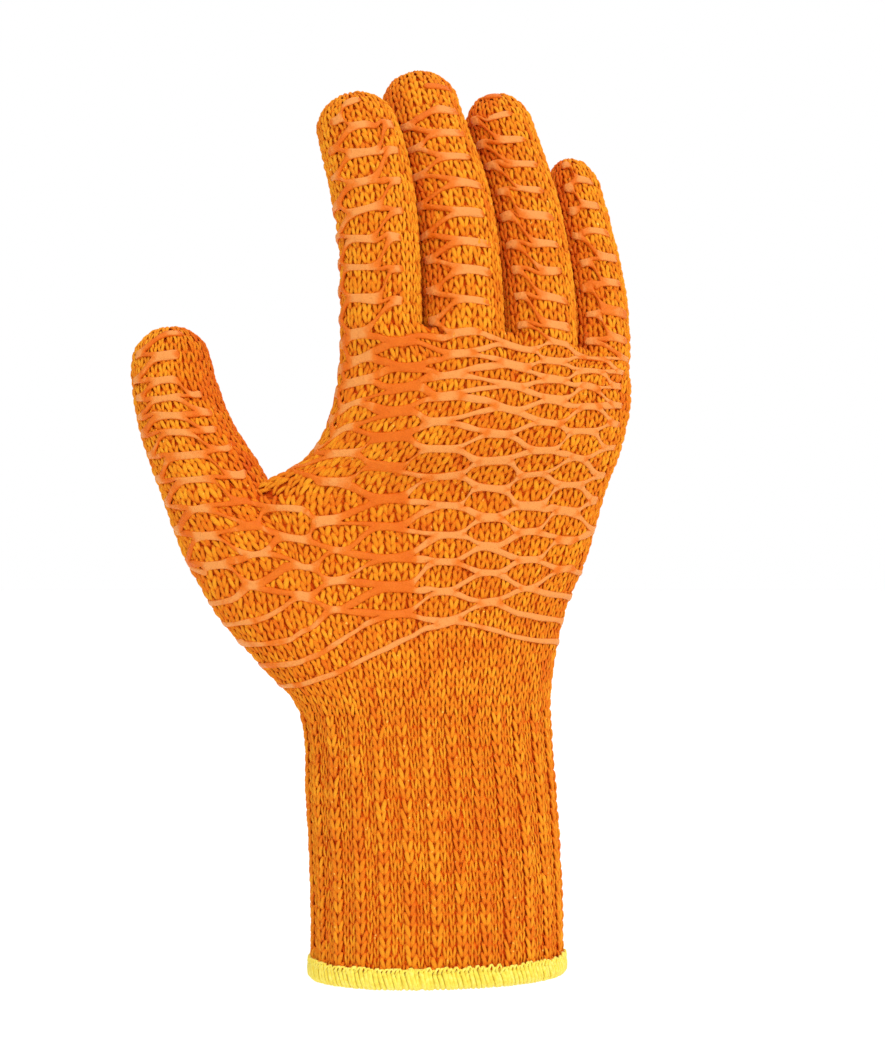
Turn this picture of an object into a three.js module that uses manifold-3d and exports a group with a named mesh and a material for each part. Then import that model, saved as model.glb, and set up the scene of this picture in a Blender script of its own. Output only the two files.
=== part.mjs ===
// Knit work glove for a right hand, held in its worn shape with the fingers up.
// Units are millimetres, +Z runs from the cuff to the fingertips, the back of the hand faces -Y,
// and the origin is the middle of the wrist opening, level with the lower edge of the hem.
import * as THREE from 'three';
import Module from 'manifold-3d';

const wasm = await Module();
wasm.setup();

// Driving dimensions
const KNIT_WALL = 2.0;          // thickness of the knitted fabric
const GAP = 0.3;                // clearance between neighbouring pieces
const HEM_HEIGHT = 5.4;         // overlocked edge of the cuff
const HEM_PROUD = 0.5;          // how far the hem thread stands out of the cuff on each side
const RIB_DEPTH = 0.45;         // half the height difference between a rib and its groove
const RIB_COUNT = 36;
const WRIST_LEVEL = 78.6;       // where the ribbed cuff ends and the plain knit starts
const TIP_ROUNDING = 11;        // length of a stall over which its tip closes
const TIP_SQUARENESS = 2.2;     // 2 closes a tip as an ellipse, more makes it blunter
const CEILING_DROP = 4;         // fabric left above the palm's hollow, where the stalls open
const OPENING_REACH = 7;        // how far a stall's opening is cut down into the palm's hollow
const SADDLE_DROP = 1.6;        // fabric at the thumb's crotch, as a multiple of the knit's wall

// Net of grip compound on both faces
const NET_CLEAR = 0.85;         // underside of the net above the knit
const NET_RISE = 0.7;           // thickness of the net
const BAR_HALF_HEIGHT = 1.3;    // bar where two strands run together
const PALM_BAR = { half: 2.6, point: 1.5 };   // half length of a bar, and its pointed end
const STALL_BAR = { half: 1.5, point: 1.1 };
const PALM_NET_GRID = { columnSize: 5.9, rowSize: 14 };   // mean size of the palm's facets
const STALL_NET_COLUMN = 1.3;                 // mean width of a stall's finer columns

function table(names, rows) {
  return rows.map((row) => Object.fromEntries(names.map((name, i) => [name, row[i]])));
}

// Loops of the cuff, the palm below the thumb's crotch and the palm above it: left and right end,
// depth on the back of the hand and on the palm side, arch of the middle, and corner fullness.
const LOOP_COLUMNS = ['lx', 'ly', 'lz', 'rx', 'ry', 'rz', 'back', 'palm', 'arch', 'full'];
const CUFF_LOOPS = table(LOOP_COLUMNS, [
  [-37.3, -7.5, 0, 37.3, 7.5, 0, 24.5, 24.5, 0, 2.1],
  [-37.6, -7.5, 26, 36.9, 7.5, 26, 24.0, 24.0, 0, 2.1],
  [-38.8, -7.7, 52, 35.3, 7.6, 52, 23.0, 23.5, 0, 2.1],
  [-41.0, -8.0, WRIST_LEVEL, 33.7, 8.0, WRIST_LEVEL, 21.5, 22.5, 0, 2.1],
]);
const LOWER_LOOPS = table(LOOP_COLUMNS, [
  [-41.0, -8.0, WRIST_LEVEL, 33.7, 8.0, WRIST_LEVEL, 21.5, 22.5, 0, 2.1],
  [-52.3, -4.0, 91.4, 35.3, 8.5, 92.4, 19.5, 21.5, 0.5, 2.2],
  [-66.2, 1.0, 106.7, 38.6, 9.0, 107.6, 18.0, 20.5, 1.0, 2.3],
  [-76.0, 5.0, 122.9, 45.4, 9.5, 124.7, 17.0, 19.0, 1.5, 2.4],
  [-82.4, 8.0, 142.0, 51.2, 11.0, 144.8, 16.0, 17.5, 2.0, 2.5],
]);
const UPPER_LOOPS = table(LOOP_COLUMNS, [
  [-36.5, -3.0, 157.7, 55.4, 13.0, 156.4, 15.0, 16.0, 3.5, 2.5],
  [-31.0, -6.0, 170.1, 58.0, 15.0, 167.8, 14.0, 14.5, 4.5, 2.5],
  [-29.1, -8.0, 181.9, 59.0, 17.0, 177.2, 12.5, 13.0, 5.0, 2.4],
]);

// Stalls: sections of each finger from its base to its tip, and how far it is turned about Z.
// The arcs are the shares of its wales that run on from the palm, in order round the palm loop.
const STALL_COLUMNS = ['x', 'y', 'z', 'wide', 'deep'];
const STALLS = {
  thumb: {
    turn: -8,
    sections: table(STALL_COLUMNS, [
      [-65.2, 7.6, 138.5, 16.4, 14.6],
      [-69.4, 10.0, 147.5, 15.6, 13.6],
      [-74.6, 13.5, 157.0, 14.4, 12.6],
      [-79.5, 18.0, 169.5, 13.7, 11.9],
      [-82.0, 21.0, 179.0, 13.0, 11.2],
      [-84.1, 25.5, 195.7, 11.6, 10.0],
    ]),
  },
  index: {
    turn: 8,
    sections: table(STALL_COLUMNS, [
      [-16.7, -9.0, 193.4, 12.2, 10.8],
      [-17.0, -9.3, 205.0, 12.0, 10.6],
      [-17.5, -8.6, 218.7, 12.0, 10.5],
      [-19.6, -6.2, 233.9, 12.5, 10.8],
      [-22.0, -3.5, 245.0, 12.6, 10.8],
      [-27.8, 4.0, 264.6, 11.8, 10.2],
    ]),
  },
  middle: {
    turn: 14,
    sections: table(STALL_COLUMNS, [
      [7.8, -4.2, 190.8, 12.3, 10.9],
      [7.2, -2.4, 203.0, 12.4, 10.9],
      [6.0, 0.6, 216.0, 12.6, 10.9],
      [3.5, 4.4, 232.3, 12.7, 10.9],
      [-1.0, 10.5, 247.0, 12.6, 10.8],
      [-8.8, 25.0, 275.0, 11.4, 9.8],
    ]),
  },
  ring: {
    turn: 22,
    sections: table(STALL_COLUMNS, [
      [30.8, 3.8, 187.0, 11.5, 10.3],
      [30.4, 7.2, 200.0, 11.6, 10.2],
      [29.2, 10.6, 213.0, 11.6, 10.1],
      [25.8, 16.2, 232.4, 11.6, 10.1],
      [21.8, 22.0, 248.0, 11.2, 9.8],
      [15.9, 30.5, 269.5, 10.2, 8.9],
    ]),
  },
  little: {
    turn: 30,
    sections: table(STALL_COLUMNS, [
      [49.0, 16.0, 184.2, 10.2, 9.4],
      [49.2, 19.0, 195.0, 10.1, 9.2],
      [48.4, 22.4, 207.0, 10.0, 9.0],
      [45.4, 27.6, 224.6, 9.5, 8.5],
      [43.0, 31.5, 237.0, 8.9, 8.0],
      [40.4, 36.0, 250.3, 8.0, 7.2],
    ]),
  },
};

// The palm's top loop in arcs that each follow a stall's base, as shares of that stall's turn
const TOP_ARCS = [
  { stall: 'index', from: 0.60, to: 1.40, points: 11 },
  { stall: 'middle', from: 0.10, to: 0.40, points: 4 },
  { stall: 'ring', from: 0.10, to: 0.40, points: 4 },
  { stall: 'little', from: 0.10, to: 0.90, points: 11 },
  { stall: 'ring', from: 0.60, to: 0.90, points: 4 },
  { stall: 'middle', from: 0.60, to: 0.90, points: 4 },
];
const PALM_SIDES = TOP_ARCS.reduce((sum, arc) => sum + arc.points, 0);
const LOWER_SIDES = 48;
const THUMB_ARC_POINTS = 6;     // points of the lower loop, each way from its left end, on the thumb
const THUMB_ARC_SHARE = 0.37;   // share of the thumb's turn that those points reach, each way
const CROTCH_SHARES = [0.43, 0.5, 0.57];  // points of the thumb's base that its crotch shares
const STALL_SIDES = 14;
const STALL_NET_SIDES = 4 * STALL_SIDES;
const STATIONS = [0, 0.14, 0.28, 0.42, 0.56, 0.7, 0.82, 0.9, 0.96, 0.99];
const CUFF_SIDES = 2 * RIB_COUNT;

const vector = (x, y, z) => new THREE.Vector3(x, y, z);
const signedPower = (value, power) => Math.sign(value) * Math.abs(value) ** power;

// A closed curve sampled evenly by length: returns the point at a share of a turn
const LOOP_SAMPLES = 240;

function evenLoop(curve) {
  const samples = LOOP_SAMPLES;
  const points = Array.from({ length: samples + 1 }, (_, i) => curve((2 * Math.PI * i) / samples));
  const lengths = [0];
  for (let i = 1; i <= samples; i += 1) {
    lengths.push(lengths[i - 1] + points[i].distanceTo(points[i - 1]));
  }
  return (share) => {
    const target = (share - Math.floor(share)) * lengths[samples];
    let i = 1;
    while (i < samples && lengths[i] < target) i += 1;
    const part = (target - lengths[i - 1]) / (lengths[i] - lengths[i - 1]);
    return points[i - 1].clone().lerp(points[i], part);
  };
}

// One loop of the cuff or palm, from its left end over the back of the hand to its right end
function sleeveLoop(row, grow = 0) {
  const left = vector(row.lx, row.ly, row.lz);
  const right = vector(row.rx, row.ry, row.rz);
  const middle = left.clone().lerp(right, 0.5);
  const half = right.clone().sub(left).multiplyScalar(0.5);
  const outward = vector(half.y, -half.x, 0).normalize();
  const reach = 1 + grow / half.length();
  return evenLoop((angle) => {
    const along = -signedPower(Math.cos(angle), 2 / row.full);
    const across = signedPower(Math.sin(angle), 2 / row.full);
    const depth = across > 0 ? row.back + grow : row.palm + grow;
    const rise = across * depth + row.arch * (1 - along * along);
    return middle.clone().addScaledVector(half, along * reach).addScaledVector(outward, rise);
  });
}

function stallLine({ sections }) {
  return new THREE.CatmullRomCurve3(sections.map((row) => vector(row.x, row.y, row.z)));
}

// A stall's section at a station from 0 at its base to 1 at its tip
function stallLoop(stall, station, grow = 0) {
  const { sections, turn } = stall;
  const line = stallLine(stall);
  const length = line.getLength();
  const centre = line.getPointAt(station);
  const tangent = line.getTangentAt(station);
  const index = line.getUtoTmapping(station) * (sections.length - 1);
  const low = Math.min(Math.floor(index), sections.length - 2);
  const part = index - low;
  const mix = (key) => sections[low][key] * (1 - part) + sections[low + 1][key] * part;
  const toTip = (1 - station) * length + grow;
  const closing = Math.max(0, 1 - toTip / TIP_ROUNDING);
  const round = Math.sqrt(Math.max(0, 1 - closing ** TIP_SQUARENESS));
  const yaw = THREE.MathUtils.degToRad(turn);
  const facing = vector(Math.sin(yaw), -Math.cos(yaw), 0);
  const side = new THREE.Vector3().crossVectors(tangent, facing).normalize();
  const front = new THREE.Vector3().crossVectors(side, tangent).normalize();
  const wide = (mix('wide') + grow) * round;
  const deep = (mix('deep') + grow) * round;
  return evenLoop((angle) => centre.clone()
    .addScaledVector(side, -Math.cos(angle) * wide)
    .addScaledVector(front, Math.sin(angle) * deep));
}

const shares = (count) => Array.from({ length: count }, (_, i) => i / count);

const stallAxis = (stall) => stallLine(stall).getTangentAt(0);

const stallCentre = ({ sections: [base] }) => vector(base.x, base.y, base.z);

const ceilingDrop = (grow) => (grow < 0 ? CEILING_DROP : 0);

// Points just under a stall's base, which the palm's rim follows
function seat(name, grow = 0) {
  const stall = STALLS[name];
  const drop = stallAxis(stall).multiplyScalar(-GAP);
  const loop = stallLoop(stall, 0, grow);
  return { at: (share) => loop(share).add(drop), centre: stallCentre(stall).add(drop) };
}

// The scalloped loop where the palm ends at the four fingers, level across each crotch
function topLoop(grow = 0) {
  const arcs = TOP_ARCS.map(({ stall, from, to, points }) => {
    const { at } = seat(stall, grow);
    return Array.from({ length: points }, (_, i) => at(from + ((to - from) * (i + 0.5)) / points));
  });
  arcs.forEach((arc, i) => {
    const last = arc[arc.length - 1];
    const [next] = arcs[(i + 1) % arcs.length];
    last.setZ(Math.min(last.z, next.z));
    next.setZ(last.z);
  });
  return arcs.flat().map((point) => point.setZ(point.z - ceilingDrop(grow)));
}

// The loop where the lower palm ends, whose left part follows the base of the thumb
function crotchLoop(grow = 0) {
  const { at } = seat('thumb', grow);
  const drop = stallAxis(STALLS.thumb).multiplyScalar(-ceilingDrop(grow));
  const sleeve = sleeveLoop(LOWER_LOOPS[LOWER_LOOPS.length - 1], grow);
  return shares(LOWER_SIDES).map((share, i) => {
    const fromLeft = i > LOWER_SIDES / 2 ? i - LOWER_SIDES : i;
    const onThumb = Math.abs(fromLeft) <= THUMB_ARC_POINTS;
    return onThumb ? at((fromLeft / THUMB_ARC_POINTS) * THUMB_ARC_SHARE).add(drop) : sleeve(share);
  });
}

// The saddle between thumb and palm, from the back of the hand to the palm side
function crotchSaddle(grow = 0) {
  const { at } = seat('thumb');
  return CROTCH_SHARES.map((share) => at(share).add(vector(0, 0, SADDLE_DROP * grow)));
}

// Points on a palm loop in the same order as the scalloped one, whose left end is inside the first arc
function palmLoop(row, grow = 0) {
  const loop = sleeveLoop(row, grow);
  const leftEnd = (TOP_ARCS[0].points - 1) / 2;
  return Array.from({ length: PALM_SIDES }, (_, i) => loop((i - leftEnd) / PALM_SIDES));
}

// Closed bodies from loops
function meshData() {
  return { points: [], faces: [] };
}

function addLoop(data, loop) {
  const start = data.points.length;
  data.points.push(...loop);
  return Array.from({ length: loop.length }, (_, i) => start + i);
}

function joinLoops(data, lower, upper) {
  const count = lower.length;
  for (let i = 0; i < count; i += 1) {
    const next = (i + 1) % count;
    data.faces.push([lower[i], lower[next], upper[next]], [lower[i], upper[next], upper[i]]);
  }
}

function capLoop(data, loop, upward) {
  const centre = loop.reduce((sum, i) => sum.add(data.points[i]), vector(0, 0, 0));
  const hub = data.points.push(centre.divideScalar(loop.length)) - 1;
  loop.forEach((point, i) => {
    const next = loop[(i + 1) % loop.length];
    data.faces.push(upward ? [point, next, hub] : [next, point, hub]);
  });
}

function fan(data, hub, points) {
  points.slice(1).forEach((point, i) => data.faces.push([points[i], point, hub]));
}

// The palm's rim between the fingers: a fan round each stall's centre, dipping at each crotch
function capTop(data, loop, grow) {
  const lowered = (point) => point.setZ(point.z - ceilingDrop(grow));
  const hubs = {};
  ['index', 'middle', 'ring', 'little'].forEach((name) => {
    hubs[name] = data.points.push(lowered(seat(name).centre)) - 1;
  });
  const dips = {};
  [['index', 'middle'], ['middle', 'ring'], ['ring', 'little']].forEach(([left, right]) => {
    const near = seat(left).at(0.5);
    const far = seat(right).at(0);
    const dip = near.clone().lerp(far, 0.5).setZ(Math.min(near.z, far.z) - GAP);
    dips[`${left} ${right}`] = data.points.push(lowered(dip)) - 1;
    dips[`${right} ${left}`] = data.points.length - 1;
  });
  let start = 0;
  TOP_ARCS.forEach((arc, i) => {
    const after = TOP_ARCS[(i + 1) % TOP_ARCS.length];
    const arcLoop = loop.slice(start, start + arc.points);
    start += arc.points;
    const last = arcLoop[arcLoop.length - 1];
    const next = loop[start % loop.length];
    const dip = dips[`${arc.stall} ${after.stall}`];
    fan(data, hubs[arc.stall], arcLoop);
    data.faces.push([last, next, dip], [next, hubs[after.stall], dip], [last, dip, hubs[arc.stall]]);
  });
}

function loft(loops) {
  const data = meshData();
  const rows = loops.map((loop) => addLoop(data, loop));
  rows.slice(1).forEach((row, i) => joinLoops(data, rows[i], row));
  capLoop(data, rows[0], false);
  capLoop(data, rows[rows.length - 1], true);
  return data;
}

// A tube with a wall, open at both ends or closed at the top
function tube(outer, inner, closed) {
  const data = meshData();
  const skin = outer.map((loop) => addLoop(data, loop));
  const lining = inner.map((loop) => addLoop(data, loop));
  skin.slice(1).forEach((row, i) => joinLoops(data, skin[i], row));
  lining.slice(1).forEach((row, i) => joinLoops(data, row, lining[i]));
  joinLoops(data, lining[0], skin[0]);
  if (closed) {
    capLoop(data, skin[skin.length - 1], true);
    capLoop(data, lining[lining.length - 1], false);
  } else {
    joinLoops(data, skin[skin.length - 1], lining[lining.length - 1]);
  }
  return data;
}

function volumeOf({ points, faces }) {
  return faces.reduce((sum, [a, b, c]) => {
    const cross = new THREE.Vector3().crossVectors(points[b], points[c]);
    return sum + points[a].dot(cross) / 6;
  }, 0);
}

function outwardFaces(data) {
  return volumeOf(data) < 0 ? data.faces.map(([a, b, c]) => [a, c, b]) : data.faces;
}

function toGeometry(data) {
  const geometry = new THREE.BufferGeometry();
  const positions = data.points.flatMap((point) => point.toArray());
  geometry.setAttribute('position', new THREE.Float32BufferAttribute(positions, 3));
  geometry.setIndex(outwardFaces(data).flat());
  geometry.computeVertexNormals();
  return geometry;
}

function toSolid(data) {
  return new wasm.Manifold(new wasm.Mesh({
    numProp: 3,
    vertProperties: new Float32Array(data.points.flatMap((point) => point.toArray())),
    triVerts: new Uint32Array(outwardFaces(data).flat()),
  }));
}

function fromSolid(solid) {
  const mesh = solid.getMesh();
  const data = meshData();
  for (let i = 0; i < mesh.vertProperties.length; i += mesh.numProp) {
    data.points.push(vector(...mesh.vertProperties.slice(i, i + 3)));
  }
  for (let i = 0; i < mesh.triVerts.length; i += 3) {
    data.faces.push([...mesh.triVerts.slice(i, i + 3)]);
  }
  return data;
}

// The cuff: a tube of knit drawn into upright ribs
function ribbed(loop, point, share, index) {
  const away = point.clone().sub(loop(share + 0.5)).setZ(0).normalize();
  return point.addScaledVector(away, index % 2 ? -RIB_DEPTH : RIB_DEPTH);
}

function cuffLoop(level, grow, withRibs) {
  const line = (key) => {
    const rows = CUFF_LOOPS;
    const upper = Math.max(1, rows.findIndex((row) => row.lz >= level));
    const part = (level - rows[upper - 1].lz) / (rows[upper].lz - rows[upper - 1].lz);
    return rows[upper - 1][key] * (1 - part) + rows[upper][key] * part;
  };
  const row = Object.fromEntries(LOOP_COLUMNS.map((key) => [key, line(key)]));
  const loop = sleeveLoop(row, grow);
  return shares(CUFF_SIDES).map((share, i) => (
    withRibs ? ribbed(loop, loop(share), share, i) : loop(share)));
}

function makeCuff() {
  const levels = [HEM_HEIGHT + GAP, 28, 54, WRIST_LEVEL - GAP];
  const outer = levels.map((level) => cuffLoop(level, -RIB_DEPTH, true));
  const inner = levels.map((level) => cuffLoop(level, -KNIT_WALL - RIB_DEPTH, true));
  return tube(outer, inner, false);
}

function makeHem() {
  const profile = [[0, 0.1], [1.2, HEM_PROUD], [HEM_HEIGHT, 0.1]];
  const loops = (sign, base) => profile.map(([level, proud]) => (
    cuffLoop(level, base + sign * proud, false).filter((_, i) => i % 2 === 0)));
  return tube(loops(1, 0), loops(-1, -KNIT_WALL), false);
}

const stallRows = (name, grow, sides = STALL_SIDES) => STATIONS.map((station) => (
  shares(sides).map(stallLoop(STALLS[name], station, grow))));

function makeStall(name) {
  return tube(stallRows(name, 0), stallRows(name, -KNIT_WALL).slice(0, -1), true);
}

// The way from the palm into a stall
function stallOpening(name, below, above) {
  const stall = STALLS[name];
  const axis = stallAxis(stall);
  const base = shares(STALL_SIDES).map(stallLoop(stall, 0, -KNIT_WALL));
  const move = (distance) => base.map((point) => point.clone().addScaledVector(axis, distance));
  return toSolid(loft([move(-below), move(above)]));
}

const lowerRows = (grow) => [
  ...LOWER_LOOPS.slice(0, -1).map((row) => shares(LOWER_SIDES).map(sleeveLoop(row, grow))),
  crotchLoop(grow),
];

const upperRows = (grow) => [...UPPER_LOOPS.map((row) => palmLoop(row, grow)), topLoop(grow)];

// The palm as one closed skin, from the wrist to the bases of the thumb and the fingers
function palmSkin(grow, foot) {
  const data = meshData();
  const lower = [...foot, ...lowerRows(grow)].map((loop) => addLoop(data, loop));
  const saddle = addLoop(data, crotchSaddle(grow));
  const split = lower[lower.length - 1];
  const onThumb = [...split.slice(-THUMB_ARC_POINTS), ...split.slice(0, THUMB_ARC_POINTS + 1)];
  const onPalm = split.slice(THUMB_ARC_POINTS + 1, -THUMB_ARC_POINTS);
  const leftEnd = (TOP_ARCS[0].points - 1) / 2;
  const fromLeft = [saddle[1], saddle[0], ...onPalm, saddle[2]];
  const root = fromLeft.map((_, i) => fromLeft.at(i - leftEnd));
  const upper = upperRows(grow).map((loop) => addLoop(data, loop));
  capLoop(data, lower[0], false);
  lower.slice(1).forEach((row, i) => joinLoops(data, lower[i], row));
  [root, ...upper.slice(0, -1)].forEach((row, i) => joinLoops(data, row, upper[i]));
  data.faces.push([onThumb.at(-1), onPalm[0], saddle[0]], [onPalm.at(-1), onThumb[0], saddle[2]]);
  capLoop(data, [...onThumb, ...saddle], true);
  capTop(data, upper[upper.length - 1], grow);
  return data;
}

function makePalm() {
  const foot = shares(LOWER_SIDES).map(sleeveLoop(LOWER_LOOPS[0], -KNIT_WALL));
  foot.forEach((point) => point.setZ(point.z - KNIT_WALL));
  let solid = toSolid(palmSkin(0, [])).subtract(toSolid(palmSkin(-KNIT_WALL, [foot])));
  Object.keys(STALLS).forEach((name) => {
    solid = solid.subtract(stallOpening(name, OPENING_REACH, KNIT_WALL));
  });
  return fromSolid(solid);
}

// A surface over rows of points: the point at a column and a row, raised above it along its normal
function surfaceOver(rows) {
  const corner = (column, row) => rows[row].at(column % rows[row].length);
  const onSkin = (column, row) => {
    const left = Math.floor(column);
    const low = Math.min(Math.floor(row), rows.length - 2);
    const bottom = corner(left, low).clone().lerp(corner(left + 1, low), column - left);
    const top = corner(left, low + 1).clone().lerp(corner(left + 1, low + 1), column - left);
    return bottom.lerp(top, row - low);
  };
  const step = 0.3;
  return (column, row, height) => {
    const low = Math.max(row - step, 0);
    const high = Math.min(row + step, rows.length - 1);
    const along = onSkin(column + step, row).sub(onSkin(column - step, row));
    const up = onSkin(column, high).sub(onSkin(column, low));
    const normal = new THREE.Vector3().crossVectors(along, up).normalize();
    return onSkin(column, row).addScaledVector(normal, height);
  };
}

// A net of wavy strands that run together in short bars, with a lens shaped gap between each four.
// Bars stand at every second crossing of the columns and rows that keep(column, row) lets through.
function netPlate(surface, { columns, rows, columnSize, rowSize, bar: barSize, keep }) {
  const data = meshData();
  const flat = [];
  const half = barSize.half / columnSize;
  const point = barSize.point / columnSize;
  const high = BAR_HALF_HEIGHT / rowSize;
  const corners = [
    [-half - point, 0], [-half, -high], [half, -high], [half + point, 0], [half, high], [-half, high],
  ];
  const [west, lowWest, lowEast, east, highEast, highWest] = [0, 1, 2, 3, 4, 5];
  const bars = new Map();
  columns.forEach((column, k) => rows.forEach((row, n) => {
    if ((k + n) % 2 === 0 && keep(column, row)) {
      bars.set(`${k} ${n}`, corners.map(([x, y]) => flat.push([column + x, row + y]) - 1));
    }
  }));
  const faces = [];
  const quad = (a, b, c, d) => faces.push([a, b, c], [a, c, d]);
  bars.forEach((bar, key) => {
    const [k, n] = key.split(' ').map(Number);
    quad(bar[west], bar[lowWest], bar[lowEast], bar[east]);
    quad(bar[west], bar[east], bar[highEast], bar[highWest]);
    const above = bars.get(`${k + 1} ${n + 1}`);
    const below = bars.get(`${k + 1} ${n - 1}`);
    if (above) quad(bar[highEast], bar[east], above[lowWest], above[west]);
    if (below) quad(bar[east], bar[lowEast], below[west], below[highWest]);
  });
  const lower = addLoop(data, flat.map(([x, y]) => surface(x, y, NET_CLEAR)));
  const upper = addLoop(data, flat.map(([x, y]) => surface(x, y, NET_CLEAR + NET_RISE)));
  const edges = new Set(faces.flatMap(([a, b, c]) => [`${a} ${b}`, `${b} ${c}`, `${c} ${a}`]));
  faces.forEach(([a, b, c]) => {
    data.faces.push([upper[a], upper[b], upper[c]], [lower[a], lower[c], lower[b]]);
  });
  edges.forEach((edge) => {
    const [a, b] = edge.split(' ').map(Number);
    if (!edges.has(`${b} ${a}`)) {
      data.faces.push([lower[a], lower[b], upper[b]], [lower[a], upper[b], upper[a]]);
    }
  });
  return data;
}

const steps = (from, to, step) => (
  Array.from({ length: Math.floor((to - from) / step + 1.001) }, (_, i) => from + i * step));

// Palm rows in grid order: the lower loops, then the upper loops, which share the columns of the palm
function palmSurface() {
  return surfaceOver([...lowerRows(0), ...upperRows(0)]);
}

// The palm's net runs under the thumb on its lower rows, and beside the thumb's crotch above them
function makePalmNet({ columns, keep }) {
  const rows = steps(0.5, 7.5, 0.5);
  return netPlate(palmSurface(), { columns, rows, ...PALM_NET_GRID, bar: PALM_BAR, keep });
}

// A stall's net follows its round form, so it is draped over finer columns than the stall's own sides
function makeStallNet(name, columns) {
  const rowSize = STATIONS[1] * stallLine(STALLS[name]).getLength();
  const rows = steps(0.2, 6.3, 0.86);
  const size = { columnSize: STALL_NET_COLUMN, rowSize, bar: STALL_BAR };
  const surface = surfaceOver(stallRows(name, 0, STALL_NET_SIDES));
  return netPlate(surface, { columns, rows, ...size, keep: () => true });
}

const lowestBar = (fromThumb) => Math.min(1.6, 0.6 + fromThumb * 0.12);
const PALM_NETS = {
  back: {
    columns: steps(1.6, 20, 2.05),
    keep: (column, row) => row > lowestBar(column) && row < (column < 7.2 ? 3.4 : 7.6),
  },
  palm: {
    columns: steps(27.2, 45.6, 2.05),
    keep: (column, row) => row > lowestBar(46.4 - column) && row < (column > 40.4 ? 3.4 : 7.2),
  },
};
const STALL_NET_COLUMNS = { back: [8.6, 14.2, 19.8], palm: [36.2, 41.8, 47.4] };

const GLOVE_ORANGE = 0xf08a24;
const NET_ORANGE = 0xf7a066;
const HEM_YELLOW = 0xf6e04b;

function finish(colour, roughness) {
  return new THREE.MeshStandardMaterial({ color: colour, roughness, metalness: 0 });
}

function piece(name, data, material) {
  const mesh = new THREE.Mesh(toGeometry(data), material);
  mesh.name = name;
  return mesh;
}

const knit = finish(GLOVE_ORANGE, 0.95);
const glove = new THREE.Group();
glove.add(piece('rib_cuff', makeCuff(), knit));
glove.add(piece('overlock_hem', makeHem(), finish(HEM_YELLOW, 0.8)));
glove.add(piece('palm_body', makePalm(), knit));
Object.keys(STALLS).forEach((name) => {
  glove.add(piece(`${name}_stall`, makeStall(name), knit));
});
const compound = finish(NET_ORANGE, 0.45);
Object.keys(PALM_NETS).forEach((face) => {
  glove.add(piece(`${face}_net_on_palm`, makePalmNet(PALM_NETS[face]), compound));
  Object.keys(STALLS).forEach((name) => {
    glove.add(piece(`${face}_net_on_${name}`, makeStallNet(name, STALL_NET_COLUMNS[face]), compound));
  });
});

export default glove;
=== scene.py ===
# Looks of the knit work glove: string knit made stitch by stitch, its grip net and its overlocked hem.
# Sizes are in millimetres until a mesh is made, and Blender's own lengths are in metres.
import functools
import math

import bmesh
import bpy
import numpy as np
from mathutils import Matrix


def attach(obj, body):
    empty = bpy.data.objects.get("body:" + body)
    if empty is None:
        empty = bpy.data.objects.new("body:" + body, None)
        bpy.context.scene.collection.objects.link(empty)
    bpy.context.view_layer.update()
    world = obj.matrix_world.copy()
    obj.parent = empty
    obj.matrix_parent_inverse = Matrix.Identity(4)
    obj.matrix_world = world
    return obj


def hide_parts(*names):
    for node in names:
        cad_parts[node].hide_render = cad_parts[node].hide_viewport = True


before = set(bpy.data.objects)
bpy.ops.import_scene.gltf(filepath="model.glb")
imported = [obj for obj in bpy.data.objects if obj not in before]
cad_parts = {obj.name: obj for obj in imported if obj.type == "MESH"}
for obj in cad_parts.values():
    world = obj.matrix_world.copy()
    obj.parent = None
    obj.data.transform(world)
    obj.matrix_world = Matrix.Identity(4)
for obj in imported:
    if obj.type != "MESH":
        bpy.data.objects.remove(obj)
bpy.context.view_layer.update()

MM = 0.001
SEED = 11

# Knitting: wales are the columns of stitches, courses are the rows, counted up from the hem
HAND_WALES = 80         # round the cuff and the palm below the thumb's crotch
UPPER_WALES = 62        # round the palm above it
THUMB_SIDE = 11         # wales each side of the thumb's outer edge that run on into it
TWIST = 4               # wales by which the palm side comes round to the back at the thumb's outer edge
CROTCH_WALES = 5        # wales picked up at the thumb's crotch
HAND_TO_UPPER = THUMB_SIDE - TWIST - CROTCH_WALES // 2  # a wale has so much lower a number above the crotch
WRIST = 26              # course where the ribbed cuff ends
SPLIT = 49              # course where the thumb leaves the palm
ROOT = 66               # course where the fingers leave the palm
THUMB_COURSE = 2.9      # height of a course at the thumb's base
COURSES = {"thumb": 21, "index": 27, "middle": 31, "ring": 30, "little": 24}
YARN = 0.74             # most that half the width of one leg of a stitch is
SUNK = 0.5              # how far the stitches' surface lies inside the solids', as soft yarn bulges out
RIB_WALES = 3           # one proud, wide wale in every three of the cuff
RIB_PROUD = 0.25
RIB_SUNK = -0.3
RIB_WIDE = 1.35         # width of a proud wale, against an even one
RIB_FADE = 3            # courses over which the ribs end

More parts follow.
